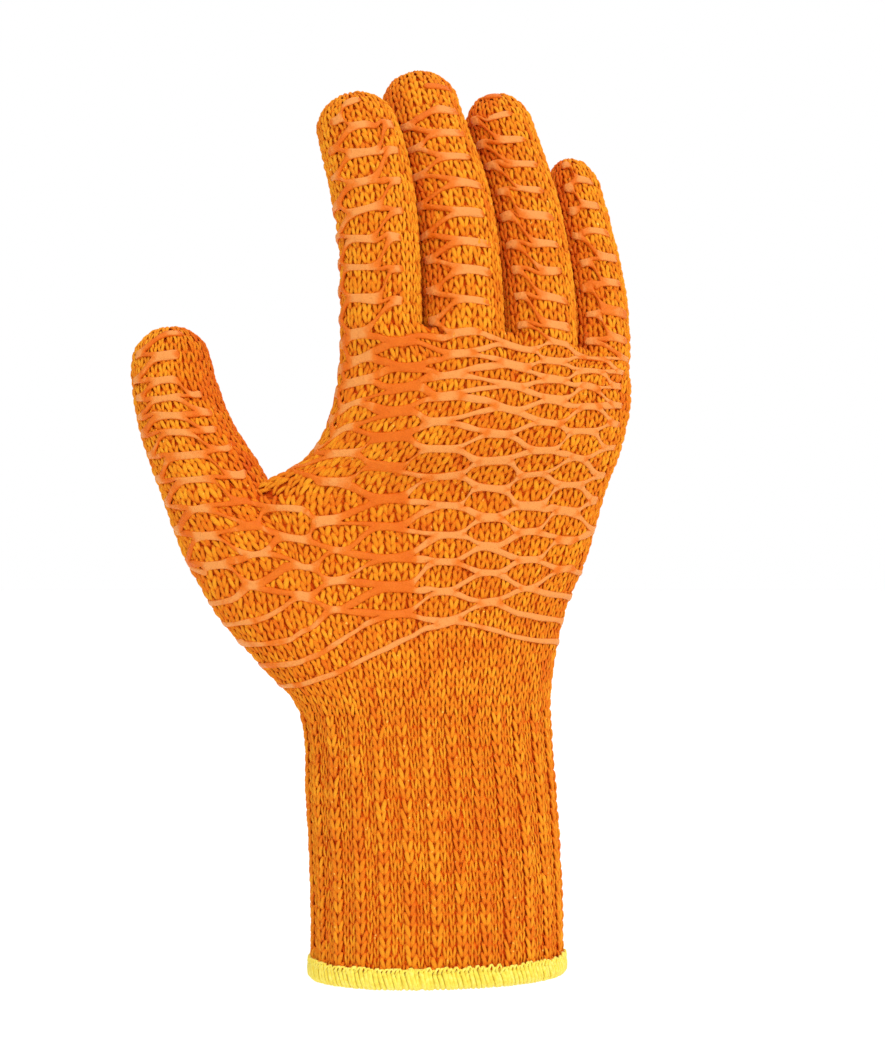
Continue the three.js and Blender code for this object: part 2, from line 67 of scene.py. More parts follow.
# Outline of the glove: loops of the cuff and the palm, as the solids have them, but 1 to 1.5 mm deeper at the
# thumb's crotch. Each has its left and right end, its bulge to the back and to the palm, the arch of the
# whole, and how full it is, where 2 is an ellipse.
LOOP_COLUMNS = ("lx", "ly", "lz", "rx", "ry", "rz", "back", "palm", "arch", "full")
CUFF_LOOPS = (
    (-37.3, -7.5, 0, 37.3, 7.5, 0, 24.5, 24.5, 0, 2.1),
    (-37.6, -7.5, 26, 36.9, 7.5, 26, 24.0, 24.0, 0, 2.1),
    (-38.8, -7.7, 52, 35.3, 7.6, 52, 23.0, 23.5, 0, 2.1),
    (-41.0, -8.0, 78.6, 33.7, 8.0, 78.6, 21.5, 22.5, 0, 2.1),
)
LOWER_LOOPS = (
    (-52.3, -4.0, 91.4, 35.3, 8.5, 92.4, 19.5, 21.5, 0.5, 2.2),
    (-66.2, 1.0, 106.7, 38.6, 9.0, 107.6, 18.0, 20.5, 1.0, 2.3),
    (-76.0, 5.0, 122.9, 45.4, 9.5, 124.7, 17.0, 19.0, 1.5, 2.4),
    (-82.4, 8.0, 142.0, 51.2, 11.0, 144.8, 17.2, 18.9, 2.0, 2.5),
)
UPPER_LOOPS = (
    (-36.5, -3.0, 157.7, 55.4, 13.0, 156.4, 15.2, 16.6, 3.5, 2.5),
    (-31.0, -6.0, 170.1, 58.0, 15.0, 167.8, 14.0, 14.5, 4.5, 2.5),
    (-29.1, -8.0, 181.9, 59.0, 17.0, 177.2, 12.5, 13.0, 5.0, 2.4),
)

# Each stall: by how many degrees it is turned, and its sections from base to tip, with x, y, z, half width
# and half depth. The fingertips are 1 to 2 mm lower than the solids'.
STALLS = {
    "thumb": (-8, ((-65.2, 7.6, 138.5, 16.4, 14.6), (-69.4, 10.0, 147.5, 15.6, 13.6),
                   (-74.6, 13.5, 157.0, 14.4, 12.6), (-79.5, 18.0, 169.5, 13.7, 11.9),
                   (-82.0, 21.0, 179.0, 13.0, 11.2), (-84.0, 25.4, 195.3, 11.6, 10.0))),
    "index": (8, ((-16.7, -9.0, 193.4, 12.2, 10.8), (-17.0, -9.3, 205.0, 12.0, 10.6),
                  (-17.5, -8.6, 218.7, 12.0, 10.5), (-19.6, -6.2, 233.9, 12.5, 10.8),
                  (-22.0, -3.5, 245.0, 12.6, 10.8), (-27.2, 3.4, 263.0, 11.8, 10.2))),
    "middle": (14, ((7.8, -4.2, 190.8, 12.3, 10.9), (7.2, -2.4, 203.0, 12.4, 10.9),
                    (6.0, 0.6, 216.0, 12.6, 10.9), (3.5, 4.4, 232.3, 12.7, 10.9),
                    (-1.0, 10.5, 247.0, 12.6, 10.8), (-8.2, 24.0, 273.0, 11.4, 9.8))),
    "ring": (22, ((30.8, 3.8, 187.0, 11.5, 10.3), (30.4, 7.2, 200.0, 11.6, 10.2),
                  (29.2, 10.6, 213.0, 11.6, 10.1), (25.8, 16.2, 232.4, 11.6, 10.1),
                  (21.8, 22.0, 248.0, 11.2, 9.8), (16.3, 29.8, 267.8, 10.2, 8.9))),
    "little": (30, ((49.0, 16.0, 184.2, 10.2, 9.4), (49.2, 19.0, 195.0, 10.1, 9.2),
                    (48.4, 22.4, 207.0, 10.0, 9.0), (45.4, 27.6, 224.6, 9.5, 8.5),
                    (43.0, 31.5, 237.0, 8.9, 8.0), (40.6, 35.6, 249.2, 8.0, 7.2))),
}
TIP_ROUNDING = 11       # length over which a stall closes to its tip
TIP_SQUARENESS = 2.2    # how full that end is, where 2 is round
# Shares of a stall's length at which its surface is laid out
STATIONS = (0, 0.14, 0.28, 0.42, 0.56, 0.7, 0.82, 0.9, 0.955, 0.985, 0.998)


def signed_power(value, power):
    return np.sign(value) * np.abs(value) ** power


def unit(vectors):
    return vectors / np.maximum(np.linalg.norm(vectors, axis=-1, keepdims=True), 1e-9)


def even_loop(points):
    """A closed loop of points as a function of the share of a turn, even by length."""
    steps = np.linalg.norm(np.diff(points, axis=0), axis=1)
    along = np.concatenate([[0], np.cumsum(steps)]) / steps.sum()

    def at(share):
        share = np.mod(np.asarray(share, float), 1)
        return np.stack([np.interp(share, along, points[:, axis]) for axis in range(3)], -1)

    return at


LOOP_CUTS = 240
TURN = np.linspace(0, 2 * math.pi, LOOP_CUTS + 1)


def sleeve_loop(row):
    size = dict(zip(LOOP_COLUMNS, row))
    left = np.array([size["lx"], size["ly"], size["lz"]])
    right = np.array([size["rx"], size["ry"], size["rz"]])
    half = (right - left) / 2
    outward = unit(np.array([half[1], -half[0], 0]))
    along = -signed_power(np.cos(TURN), 2 / size["full"])[:, None]
    across = signed_power(np.sin(TURN), 2 / size["full"])[:, None]
    depth = np.where(across > 0, size["back"], size["palm"])
    rise = across * depth + size["arch"] * (1 - along ** 2)
    return even_loop((left + right) / 2 + along * half + rise * outward)


def smooth_line(points, samples=24):
    """A centripetal Catmull-Rom line through points, and how far along its sections each sample is."""
    points = np.asarray(points, float)
    padded = np.vstack([2 * points[0] - points[1], points, 2 * points[-1] - points[-2]])
    line = []
    part = np.arange(samples)[:, None] / samples
    for i in range(len(points) - 1):
        p0, p1, p2, p3 = padded[i:i + 4]
        d0, d1, d2 = (math.sqrt(max(np.linalg.norm(b - a), 1e-3)) for a, b in ((p0, p1), (p1, p2), (p2, p3)))
        start = ((p1 - p0) / d0 - (p2 - p0) / (d0 + d1) + (p2 - p1) / d1) * d1
        end = ((p2 - p1) / d1 - (p3 - p1) / (d1 + d2) + (p3 - p2) / d2) * d1
        square, cube = part ** 2, part ** 3
        line.append(p1 * (2 * cube - 3 * square + 1) + start * (cube - 2 * square + part)
                    + p2 * (3 * square - 2 * cube) + end * (cube - square))
    line.append(points[-1:])
    return np.vstack(line), np.arange((len(points) - 1) * samples + 1) / samples


def lengths_along(line):
    return np.concatenate([[0], np.cumsum(np.linalg.norm(np.diff(line, axis=0), axis=1))])


@functools.cache
def stall_loop(name, station):
    """The section of a stall at a station from 0 at its base to 1 at its tip."""
    turn, sections = STALLS[name]
    sections = np.array(sections)
    line, section = smooth_line(sections[:, :3])
    length = lengths_along(line)
    tangents = unit(np.gradient(line, axis=0))
    target = station * length[-1]

    def pick(values):
        return np.interp(target, length, values)

    centre = np.array([pick(line[:, axis]) for axis in range(3)])
    tangent = unit(np.array([pick(tangents[:, axis]) for axis in range(3)]))
    where = pick(section)
    wide, deep = (np.interp(where, range(len(sections)), sections[:, key]) for key in (3, 4))
    closing = max(0, 1 - (length[-1] - target) / TIP_ROUNDING)
    size = math.sqrt(max(0, 1 - closing ** TIP_SQUARENESS))
    yaw = math.radians(turn)
    side = unit(np.cross(tangent, [math.sin(yaw), -math.cos(yaw), 0]))
    front = unit(np.cross(side, tangent))
    angle = TURN[:, None]
    return even_loop(centre - np.cos(angle) * wide * size * side + np.sin(angle) * deep * size * front)


# How each stall's wales lie round it: their number, and the place of one of them as a share of a turn
STALL_WALES = {
    "thumb": (28, 25, 0.5),
    "index": (23, 20.5, 0.5),
    "middle": (22, 3, 0.25),
    "ring": (22, 3, 0.25),
    "little": (19, -2.5, 0),
}
# Where the upper palm's wales go, counted from its left edge: stall, first wale there, how many
ROOT_ARCS = (
    ("index", 9, 10), ("middle", 0, 7), ("ring", 0, 7), ("little", 0, 15),
    ("ring", 11, 7), ("middle", 11, 7), ("index", 0, 9),
)


def root_of(upper_wale):
    """The stall and the wale there that an upper palm wale runs on into."""
    left = upper_wale % UPPER_WALES
    for stall, first, count in ROOT_ARCS:
        if left < count:
            return stall, first + left
        left -= count
    raise ValueError(upper_wale)


def stall_share(name, wale):
    """How far round its stall a wale lies, as a share of a turn."""
    count, known, share = STALL_WALES[name]
    return share + (wale - known) / count


def stall_points(name, wale):
    return [stall_loop(name, station)(stall_share(name, wale)) for station in STATIONS]


def course_line(points, marks):
    """A wale's course numbers and points, even between marks of (number of a point, course)."""
    line, section = smooth_line(points, WALE_CUTS)
    length = lengths_along(line)
    at = [np.interp(point, section, length) for point, _ in marks]
    courses = np.interp(length, at, [course for _, course in marks])
    return courses, line


# On each loop below the crotch, how far wales lean towards the little finger in the middle of both faces, and
# how far they turn from the palm side to the back at the thumb's outer edge and at the little finger's, as
# shares of a turn. Up the middle of the hand they then run nearly straight, past the thumb.
CUFF_TURNS = ((0, 0, 0),) * len(CUFF_LOOPS)
LOWER_TURNS = ((0.022, 0.012, 0.008), (0.032, 0.028, 0.020), (0.027, 0.042, 0.035), (0.018, 0.050, 0.050))
WALE_CUTS = 12          # between two points of a wale's line
# Numbers of the points of a wale's line at the wrist, the crotch and the roots of the fingers
WRIST_POINT = len(CUFF_LOOPS) - 1
SPLIT_POINT = WRIST_POINT + len(LOWER_LOOPS)
ROOT_POINT = SPLIT_POINT + len(UPPER_LOOPS) + 1
THUMB_INNER = 0.5       # the thumb's inner edge, as a share of a turn


def turned(share, turns):
    lean, near, far = turns
    angle = 2 * math.pi * share
    return share + lean * math.sin(angle) + (near + far) / 2 + (near - far) / 2 * math.cos(angle)


def hand_wale(wale):
    """The line of a wale that starts at the cuff, up to the tip of its stall."""
    share = wale / HAND_WALES
    loops = CUFF_LOOPS + LOWER_LOOPS[:-1]
    points = [sleeve_loop(row)(turned(share, turns)) for row, turns in zip(loops, CUFF_TURNS + LOWER_TURNS)]
    from_edge = (wale + TWIST + HAND_WALES // 2) % HAND_WALES - HAND_WALES // 2
    marks = [(0, 0), (WRIST_POINT, WRIST)]
    if abs(from_edge) <= THUMB_SIDE:
        points += stall_points("thumb", from_edge + THUMB_SIDE)
        # The thumb's base slopes, while the courses run on level across it
        rise = points[SPLIT_POINT][2] - LOWER_LOOPS[-1][2]
        marks.append((SPLIT_POINT, SPLIT + rise / THUMB_COURSE))
        return course_line(points, marks + [(len(points) - 1, SPLIT + COURSES["thumb"])])
    points.append(sleeve_loop(LOWER_LOOPS[-1])(turned(share, LOWER_TURNS[-1])))
    upper, tip = upper_points(wale - HAND_TO_UPPER)
    points += upper
    return course_line(points, marks + [(SPLIT_POINT, SPLIT), (ROOT_POINT, ROOT), (len(points) - 1, tip)])


def upper_points(upper_wale):
    """The points of a wale above the crotch, and the course at its tip."""
    stall, stall_wale = root_of(upper_wale)
    points = [sleeve_loop(row)(upper_wale / UPPER_WALES) for row in UPPER_LOOPS]
    return points + stall_points(stall, stall_wale), ROOT + COURSES[stall]


def crotch_wale(upper_wale):
    """A wale of the upper palm that is picked up at the thumb's crotch."""
    start = stall_loop("thumb", 0)(THUMB_INNER - upper_wale / STALL_WALES["thumb"][0])
    upper, tip = upper_points(upper_wale)
    return course_line([start] + upper, [(0, SPLIT), (ROOT_POINT - SPLIT_POINT, ROOT), (len(upper), tip)])


def picked_wale(stall, wale, first):
    """A wale of a stall that is picked up at the stall's base."""
    points = stall_points(stall, wale)
    return course_line(points, [(0, first), (len(points) - 1, first + COURSES[stall])])


ROWS_A_COURSE = 4
COLUMNS_A_WALE = 3
COURSES_BELOW = 2       # by which a tube's surface is drawn out below its first course
MIRRORS = {"index": 18, "middle": 17, "ring": 17, "little": 14}


def periodic_finer(rows, times):
    """Rows of points round a tube, with more columns on a smooth line through them."""
    before, after, second = (np.roll(rows, shift, axis=1) for shift in (1, -1, -2))
    finer = []
    for step in range(times):
        part = step / times
        finer.append(0.5 * (2 * rows + (after - before) * part
                            + (2 * before - 5 * rows + 4 * after - second) * part ** 2
                            + (3 * rows - before - 3 * after + second) * part ** 3))
    return np.stack(finer, axis=2).reshape(rows.shape[0], -1, 3)


class Tube:
    """Part of the glove's surface, addressed by wale and course."""

    def __init__(self, lines, first, last, mirror, picked=()):
        self.wales = len(lines)
        self.picked = picked
        self.first = first
        self.last = last
        self.mirror = mirror    # the number of a wale on the back and that of its mirror image, added up
        self.low = first - COURSES_BELOW
        self.courses = np.arange((last + 1 - self.low) * ROWS_A_COURSE + 1) / ROWS_A_COURSE + self.low
        rows = np.stack([self.resample(*line) for line in lines], axis=1)
        self.points = periodic_finer(rows, COLUMNS_A_WALE)
        along = np.roll(self.points, -1, axis=1) - np.roll(self.points, 1, axis=1)
        up = np.gradient(self.points, axis=0)
        self.normals = unit(np.cross(along, up))

    def resample(self, courses, line):
        """Points of one wale at the tube's courses, drawn out straight past its start."""
        step = (line[1] - line[0]) / max(courses[1] - courses[0], 1e-6)
        points = np.stack([np.interp(self.courses, courses, line[:, axis]) for axis in range(3)], -1)
        short = np.minimum(self.courses - courses[0], 0)[:, None]
        return points + short * step

    def spot(self, grid, wale, course):
        """What a grid of points or normals says at a place, on a plane between its nearest four."""
        column = np.mod(np.asarray(wale, float), self.wales) * COLUMNS_A_WALE
        row = np.clip((np.asarray(course, float) - self.low) * ROWS_A_COURSE, 0, len(self.courses) - 1.001)
        left, low = np.floor(column).astype(int), np.floor(row).astype(int)
        across, up = (column - left)[..., None], (row - low)[..., None]
        count = grid.shape[1]
        left, right = left % count, (left + 1) % count
        bottom = grid[low, left] * (1 - across) + grid[low, right] * across
        top = grid[low + 1, left] * (1 - across) + grid[low + 1, right] * across
        return bottom * (1 - up) + top * up

    def normal(self, wale, course):
        return unit(self.spot(self.normals, wale, course))

    def at(self, wale, course, height):
        height = np.asarray(height, float)[..., None]
        return self.spot(self.points, wale, course) + self.normal(wale, course) * height

    def width(self, wale, course, wales):
        """Distance across so many wales from a place, to the right of it or, where negative, to the left."""
        wide = self.spot(self.points, wale + wales, course) - self.spot(self.points, wale, course)
        return np.linalg.norm(wide, axis=-1)


def make_tubes():
    hand = [hand_wale(wale) for wale in range(HAND_WALES)]
    upper = []
    crotch = []
    for wale in range(UPPER_WALES):
        from_left = wale - UPPER_WALES if wale > UPPER_WALES / 2 else wale
        picked = abs(from_left) <= CROTCH_WALES // 2
        upper.append(crotch_wale(from_left) if picked else hand[(wale + HAND_TO_UPPER) % HAND_WALES])
        crotch += [wale] if picked else []
    tubes = {
        "hand": Tube(hand, 0, SPLIT, 0),
        "upper": Tube(upper, SPLIT, ROOT, 0, crotch),
    }
    thumb = [hand[wale - THUMB_SIDE - TWIST] for wale in range(2 * THUMB_SIDE + 1)]
    picked = range(len(thumb), STALL_WALES["thumb"][0])
    thumb += [picked_wale("thumb", wale, SPLIT) for wale in picked]
    tubes["thumb"] = Tube(thumb, SPLIT, SPLIT + COURSES["thumb"], 2 * THUMB_SIDE, picked)
    run_on = {root_of(wale): line for wale, line in enumerate(upper)}
    for stall, mirror in MIRRORS.items():
        wales = range(STALL_WALES[stall][0])
        picked = [wale for wale in wales if (stall, wale) not in run_on]
        lines = [run_on.get((stall, wale)) or picked_wale(stall, wale, ROOT) for wale in wales]
        tubes[stall] = Tube(lines, ROOT, ROOT + COURSES[stall], mirror, picked)
    return tubes


TUBES = make_tubes()


# Meshes from arrays
def placed(name, data):
    """A new object in the scene, at the origin."""
    holder = bpy.data.objects.new(name, data)
    bpy.context.scene.collection.objects.link(holder)
    return holder


def new_piece(name, points, faces, material, attributes=None, uv=None):
    """A smooth mesh from points in millimetres and a list of face arrays of equal corners."""
    mesh = bpy.data.meshes.new(name)
    corners = np.concatenate([face.ravel() for face in faces]).astype(np.int32)
    totals = np.concatenate([np.full(len(face), face.shape[1]) for face in faces]).astype(np.int32)
    starts = np.concatenate([[0], np.cumsum(totals)[:-1]]).astype(np.int32)
    mesh.vertices.add(len(points))
    mesh.vertices.foreach_set("co", (np.asarray(points) * MM).astype(np.float32).ravel())
    mesh.loops.add(len(corners))
    mesh.loops.foreach_set("vertex_index", corners)
    mesh.polygons.add(len(totals))
    mesh.polygons.foreach_set("loop_start", starts)
    mesh.polygons.foreach_set("loop_total", totals)
    mesh.update(calc_edges=True)
    mesh.polygons.foreach_set("use_smooth", np.full(len(totals), True))
    for key, values in (attributes or {}).items():
        layer = mesh.attributes.new(key, "FLOAT", "POINT")
        layer.data.foreach_set("value", np.asarray(values, np.float32).ravel())
    if uv is not None:
        layer = mesh.uv_layers.new(name="UVMap")
        layer.data.foreach_set("uv", uv[corners].astype(np.float32).ravel())
    mesh.validate()
    mesh.materials.append(material)
    return placed(name, mesh)


def threads(centres, ups, wide, thick, sides):
    """Closed threads: arrays of (thread, ring, 3) centres and ups, with half sizes for each ring."""
    count, rings = centres.shape[:2]
    tangents = unit(np.gradient(centres, axis=1))
    sideways = unit(np.cross(tangents, ups))
    outward = np.cross(sideways, tangents)
    angles = 2 * math.pi * np.arange(sides) / sides + math.pi / 2
    ring_x = np.cos(angles)[None, None, :, None] * wide[..., None, None]
    ring_y = np.sin(angles)[None, None, :, None] * thick[..., None, None]
    points = centres[:, :, None] + sideways[:, :, None] * ring_x + outward[:, :, None] * ring_y
    start = (np.arange(count * rings) * sides).reshape(count, rings)
    this = np.arange(sides)
    after = (this + 1) % sides
    lower, upper = start[:, :-1, None], start[:, 1:, None]
    quads = np.stack([lower + this, upper + this, upper + after, lower + after], -1).reshape(-1, 4)
    ends = np.concatenate([start[:, 0, None] + this, start[:, -1, None] + this[::-1]])
    length = np.cumsum(np.linalg.norm(np.diff(centres, axis=1, prepend=centres[:, :1]), axis=2), axis=1)
    around = np.broadcast_to(this / sides, (count, rings, sides))
    uv = np.stack([around, np.broadcast_to(length[..., None], around.shape)], -1)
    return points.reshape(-1, 3), [quads, ends], uv.reshape(-1, 2)


# One leg of a stitch, from where it comes out of the stitch below to where it dives under the next:
# across as a share of the wale, along in courses, lift off the knit's surface in mm, relative size
LEG = np.array([
    (0.13, -0.30, -0.58, 0.82),
    (0.14, 0.03, -0.02, 0.97),
    (0.23, 0.40, 0.18, 1.08),
    (0.33, 0.78, 0.07, 1.02),
    (0.35, 1.13, -0.50, 0.82),
])
LEG_SIDES = 5
LEG_FILL = 0.37         # width of a leg, as a share of its wale's
LEG_FLATNESS = 0.75
# How much stitches and legs differ: along in courses, across in wales, the rise in mm and the rest as shares
WALE_ALONG = 0.12
STITCH_ALONG = 0.07
STITCH_ACROSS = 0.04
LEG_ALONG = 0.05
LEG_LEAN = 0.12
LEG_RISE = 0.08
LEG_SIZE = 0.08
# The yarn's place on its ramp of colours, from redder to yellower, and how much that differs
YARN_TINT = 0.65
WALE_TINT = 0.03
STITCH_TINT = 0.05
LEG_TINT = 0.06
PAINTED_SHADE_RISE = -0.6        # rise of a leg at which its colour is all painted shade, the redder colour of sunk yarn
TOP_RISE = 0.16         # and of the topmost
STALL_YELLOWER = 0.08
# Painted shade between the stalls: how much redder a stall's yarn is where it faces the stall beside it, and
# how sharply that fades round it
SIDE_PAINTED_SHADE = 0.3
PAINTED_SHADE_FADE = 1.5
# Where each stall's side of painted shade lies, redder where it faces the stall beside it, as a share of a
# turn
PAINTED_SHADE_SIDES = {"thumb": 0.5, "middle": 0, "ring": 0, "little": 0}
PICKED_STARTS = (1, 2)  # courses added under the wales picked up at a crotch
NARROW_WALE = 1.7       # wales closer than this are knitted together in pairs, as at a fingertip
MOST_TOGETHER = 8       # and the most of them in one stitch
WIDE_GAP = 1.5          # wales further apart than this, in usual widths, get stitches between them


def rib_share(tube, courses):
    """How far the knit is ribbed: 1 on the cuff, fading out at the wrist."""
    return np.clip((WRIST + RIB_FADE / 2 - courses) / RIB_FADE, 0, 1) * (tube == "hand")


def rib_form(tube, wales, courses):
    """Lift, sideways shift and width of each stitch from the cuff's ribs."""
    ribbed = rib_share(tube, courses)
    phase = wales % RIB_WALES
    lift = np.where(phase == 0, RIB_PROUD, RIB_SUNK) * ribbed
    crowd = (RIB_WIDE - 1) / 4
    shift = np.choose(phase, [0, crowd, -crowd]) * ribbed
    width = 1 + np.where(phase == 0, RIB_WIDE - 1, -2 * crowd) * ribbed
    return lift, shift, width


def course_places(tube, course):
    """Wale, course and width to the left and right of each stitch of one course."""
    wales = np.arange(tube.wales)
    gaps = tube.width(wales, np.full(tube.wales, course + 0.5), 1)
    usual = np.median(gaps)
    span = 1
    while usual * span < NARROW_WALE and span < MOST_TOGETHER:
        span *= 2
    if span > 1:
        return [(wale + (span - 1) / 2, course, span, span) for wale in wales[::span]]
    parts = np.where(gaps > WIDE_GAP * usual, np.round(gaps / usual), 1).astype(int)
    places = []
    for wale in wales:
        places.append((wale, course, 1 / parts[wale - 1], 1 / parts[wale]))
        for part in range(1, parts[wale]):
            places.append((wale + part / parts[wale], course, 1 / parts[wale], 1 / parts[wale]))
    return places


def stitch_places(tube, first, last):
    """The places of all stitches of a tube. Wales picked up at a crotch start lower, where they close it."""
    places = [(wale, first - back, 1, 1) for wale in tube.picked for back in PICKED_STARTS]
    for course in range(first, last):
        places += course_places(tube, course)
    return np.array(places, float)


def redder(tube, wales):
    """How much redder a stall's yarn is: a little yellower all round, and redder where it faces the stall
    beside it, which is painted shade."""
    if tube not in PAINTED_SHADE_SIDES:
        return -STALL_YELLOWER * (tube in STALLS)
    turn = 2 * math.pi * (stall_share(tube, wales) - PAINTED_SHADE_SIDES[tube])
    return SIDE_PAINTED_SHADE * np.maximum(np.cos(turn), 0) ** PAINTED_SHADE_FADE - STALL_YELLOWER


def stitches(name, tube_name, first, last, rng):
    """The outer face of the knit: each stitch as two legs of yarn, side by side."""
    tube = TUBES[tube_name]
    wale, course, left, right = stitch_places(tube, first, last).T
    count = len(wale)
    column = np.floor(wale).astype(int)
    lift, rib_shift, rib_width = rib_form(tube_name, column, course)
    wale = wale + rib_shift
    wale_hue = rng.normal(0, 1, tube.wales)[column]
    wale_along = WALE_ALONG * rng.normal(0, 1, tube.wales)[column]
    stitch_hue = rng.normal(0, 1, count)
    stitch_shift = rng.normal(0, 1, (count, 2))
    across, along, rise, size = LEG.T
    legs = []
    for side, room in ((-1, left * rib_width), (1, right * rib_width)):
        lean = 1 + LEG_LEAN * rng.normal(0, 1, count)
        leg_across = side * across * lean[:, None] + STITCH_ACROSS * stitch_shift[:, :1]
        leg_wale = wale[:, None] + room[:, None] * leg_across
        leg_along = wale_along + STITCH_ALONG * stitch_shift[:, 1] + LEG_ALONG * rng.normal(0, 1, count)
        leg_course = course[:, None] + along + leg_along[:, None]
        height = (lift + LEG_RISE * rng.normal(0, 1, count) - SUNK)[:, None] + rise
        width = 2 * tube.width(wale, course + 0.5, side * room / 2)
        half = np.minimum(YARN, LEG_FILL / 2 * width) * (1 + LEG_SIZE * rng.normal(0, 1, count))
        tint = YARN_TINT + WALE_TINT * wale_hue + STITCH_TINT * stitch_hue
        # The stalls' yarn is made redder where it faces the stall beside it: painted shade
        tint += LEG_TINT * rng.normal(0, 1, count) - redder(tube_name, wale)
        centres = tube.at(leg_wale, leg_course, height)
        ups = tube.normal(leg_wale, leg_course)
        tints = np.broadcast_to(tint[:, None], height.shape)
        # Painted shade: the legs' sunk ends take the redder colour of yarn in a crevice, fading out towards
        # their tops
        painted_shade_depths = np.broadcast_to((rise - PAINTED_SHADE_RISE) / (TOP_RISE - PAINTED_SHADE_RISE), height.shape)
        legs.append((centres, ups, half[:, None] * size, tints, painted_shade_depths))
    centres, ups, wides, tints, painted_shade_depths = (np.concatenate(rows) for rows in zip(*legs))
    points, faces, uv = threads(centres, ups, wides, wides * LEG_FLATNESS, LEG_SIDES)
    attributes = {"tint": np.repeat(tints.ravel(), LEG_SIDES), "depth": np.repeat(painted_shade_depths.ravel(), LEG_SIDES)}
    return new_piece(name, points, faces, YARN_FINISH, attributes, uv)


# The backs of the loops, a closed wall under the stitches that also is the inside of the glove
BACKING_OUTER = -0.9
BACKING_INNER = -2.0
BACKING_SUNK = -0.1     # how much further in it is behind the sunk wales of the cuff
BACKING_LAP = 1.5       # courses by which it starts below a crotch
# The loops that show inside the cuff's opening, one wavy ridge a course
PURL_FIRST = 2
PURL_LAST = 17
PURL_CUTS = 4           # a wale
PURL_WAVE = 0.33        # courses
PURL_YARN = 0.62
PURL_DEPTH = -2.1
PURL_PROUD = 0.3        # how far the crests of the waves stand in from the legs between them
PURL_SIDES = 4
PURL_TINT = 0.55
PURL_RISE = 0.8         # its place between the painted shade of sunk yarn and the colour of the topmost
JOIN_WITHIN = 0.02      # points closer than this become one


def wrapped_sheet(bm, columns, rows, place, size):
    """A flat grid wrapped round a tube and joined at its seam: place gives the points of shares across and
    up the sheet, and size the sheet's size in UV units."""
    uv = bm.loops.layers.uv.new("UVMap")
    bmesh.ops.create_grid(bm, x_segments=columns, y_segments=rows, size=1, calc_uvs=False)
    shares = {vert: ((vert.co.x + 1) / 2, (vert.co.y + 1) / 2) for vert in bm.verts}
    for face in bm.faces:
        for loop in face.loops:
            across, up = shares[loop.vert]
            loop[uv].uv = (across * size[0], up * size[1])
    across, up = np.array(list(shares.values())).T
    for vert, point in zip(shares, place(across, up)):
        vert.co = point * MM
    bmesh.ops.remove_doubles(bm, verts=bm.verts, dist=JOIN_WITHIN * MM)


def finished(bm, name, material):
    """The bmesh as a smooth piece of one material."""
    mesh = bpy.data.meshes.new(name)
    bm.to_mesh(mesh)
    bm.free()
    mesh.shade_smooth()
    mesh.materials.append(material)
    return placed(name, mesh)


def top_edges(bm):
    """The open edges of a bmesh in its upper half."""
    heights = [vert.co.z for vert in bm.verts]
    middle = (min(heights) + max(heights)) / 2
    return [edge for edge in bm.edges if edge.is_boundary and edge.verts[0].co.z > middle]


def backing(name, tube_name, first, last, closed):
    """The wall behind the stitches, with twice the rows on a stall, which is closed at its tip."""
    tube = TUBES[tube_name]
    bm = bmesh.new()
    rows = round((last - first) * (2 if closed else 1))

    def place(across, up):
        course = first + up * (last - first)
        proud = np.round(across * tube.wales) % tube.wales % RIB_WALES == 0
        follow = np.where(proud, RIB_PROUD, BACKING_SUNK)
        height = BACKING_OUTER + follow * rib_share(tube_name, course)
        return tube.at(across * tube.wales, course, height)

    wrapped_sheet(bm, tube.wales, rows, place, (tube.wales, last - first))
    if closed:
        bmesh.ops.holes_fill(bm, edges=top_edges(bm), sides=0)
    piece = finished(bm, name, BACKING_FINISH)
    wall = piece.modifiers.new("wall", "SOLIDIFY")
    wall.thickness = (BACKING_OUTER - BACKING_INNER) * MM
    wall.offset = -1
    return piece


def cuff_inside(name):
    """Wavy ridges round the inside of the cuff. The cuts lie beside the crests, which are flat so."""
    tube = TUBES["hand"]
    wale = (np.arange(tube.wales * PURL_CUTS + 2) + 0.5) / PURL_CUTS
    wave = np.sin(2 * math.pi * wale)
    course = np.arange(PURL_FIRST, PURL_LAST)[:, None] + 0.25 + PURL_WAVE * wave
    wale = np.broadcast_to(wale, course.shape)
    centres = tube.at(wale, course, PURL_DEPTH - PURL_PROUD * np.broadcast_to(wave ** 2, course.shape))
    wide = np.full(course.shape, PURL_YARN)
    points, faces, uv = threads(centres, -tube.normal(wale, course), wide, wide * LEG_FLATNESS, PURL_SIDES)
    attributes = {"tint": np.full(len(points), PURL_TINT), "depth": np.full(len(points), PURL_RISE)}
    return new_piece(name, points, faces, YARN_FINISH, attributes, uv)


# Materials
def linear(code):
    channels = [int(code[i:i + 2], 16) / 255 for i in (1, 3, 5)]
    return [c / 12.92 if c <= 0.04045 else ((c + 0.055) / 1.055) ** 2.4 for c in channels] + [1.0]


def set_inputs(tree, node, inputs):
    """Links a node's inputs that are given as sockets, and sets those that are given as values."""
    for name, value in inputs.items():
        if isinstance(value, bpy.types.NodeSocket):
            tree.links.new(value, node.inputs[name])
        else:
            node.inputs[name].default_value = value


def add_node(tree, kind, settings=None, inputs=None, stops=None):
    """Adds a node with its settings, its inputs as values or as sockets to link, and a ramp's stops."""
    node = tree.nodes.new(kind)
    for name, value in (settings or {}).items():
        setattr(node, name, value)
    set_inputs(tree, node, inputs or {})
    if stops:
        elements = node.color_ramp.elements
        elements.remove(elements[1])
        elements[0].position, elements[0].color = stops[0][0], linear(stops[0][1])
        for position, code in stops[1:]:
            elements.new(position).color = linear(code)
    return node


def new_material(name):
    material = bpy.data.materials.new(name)
    material.use_nodes = True
    tree = material.node_tree
    return material, tree, tree.nodes["Principled BSDF"]


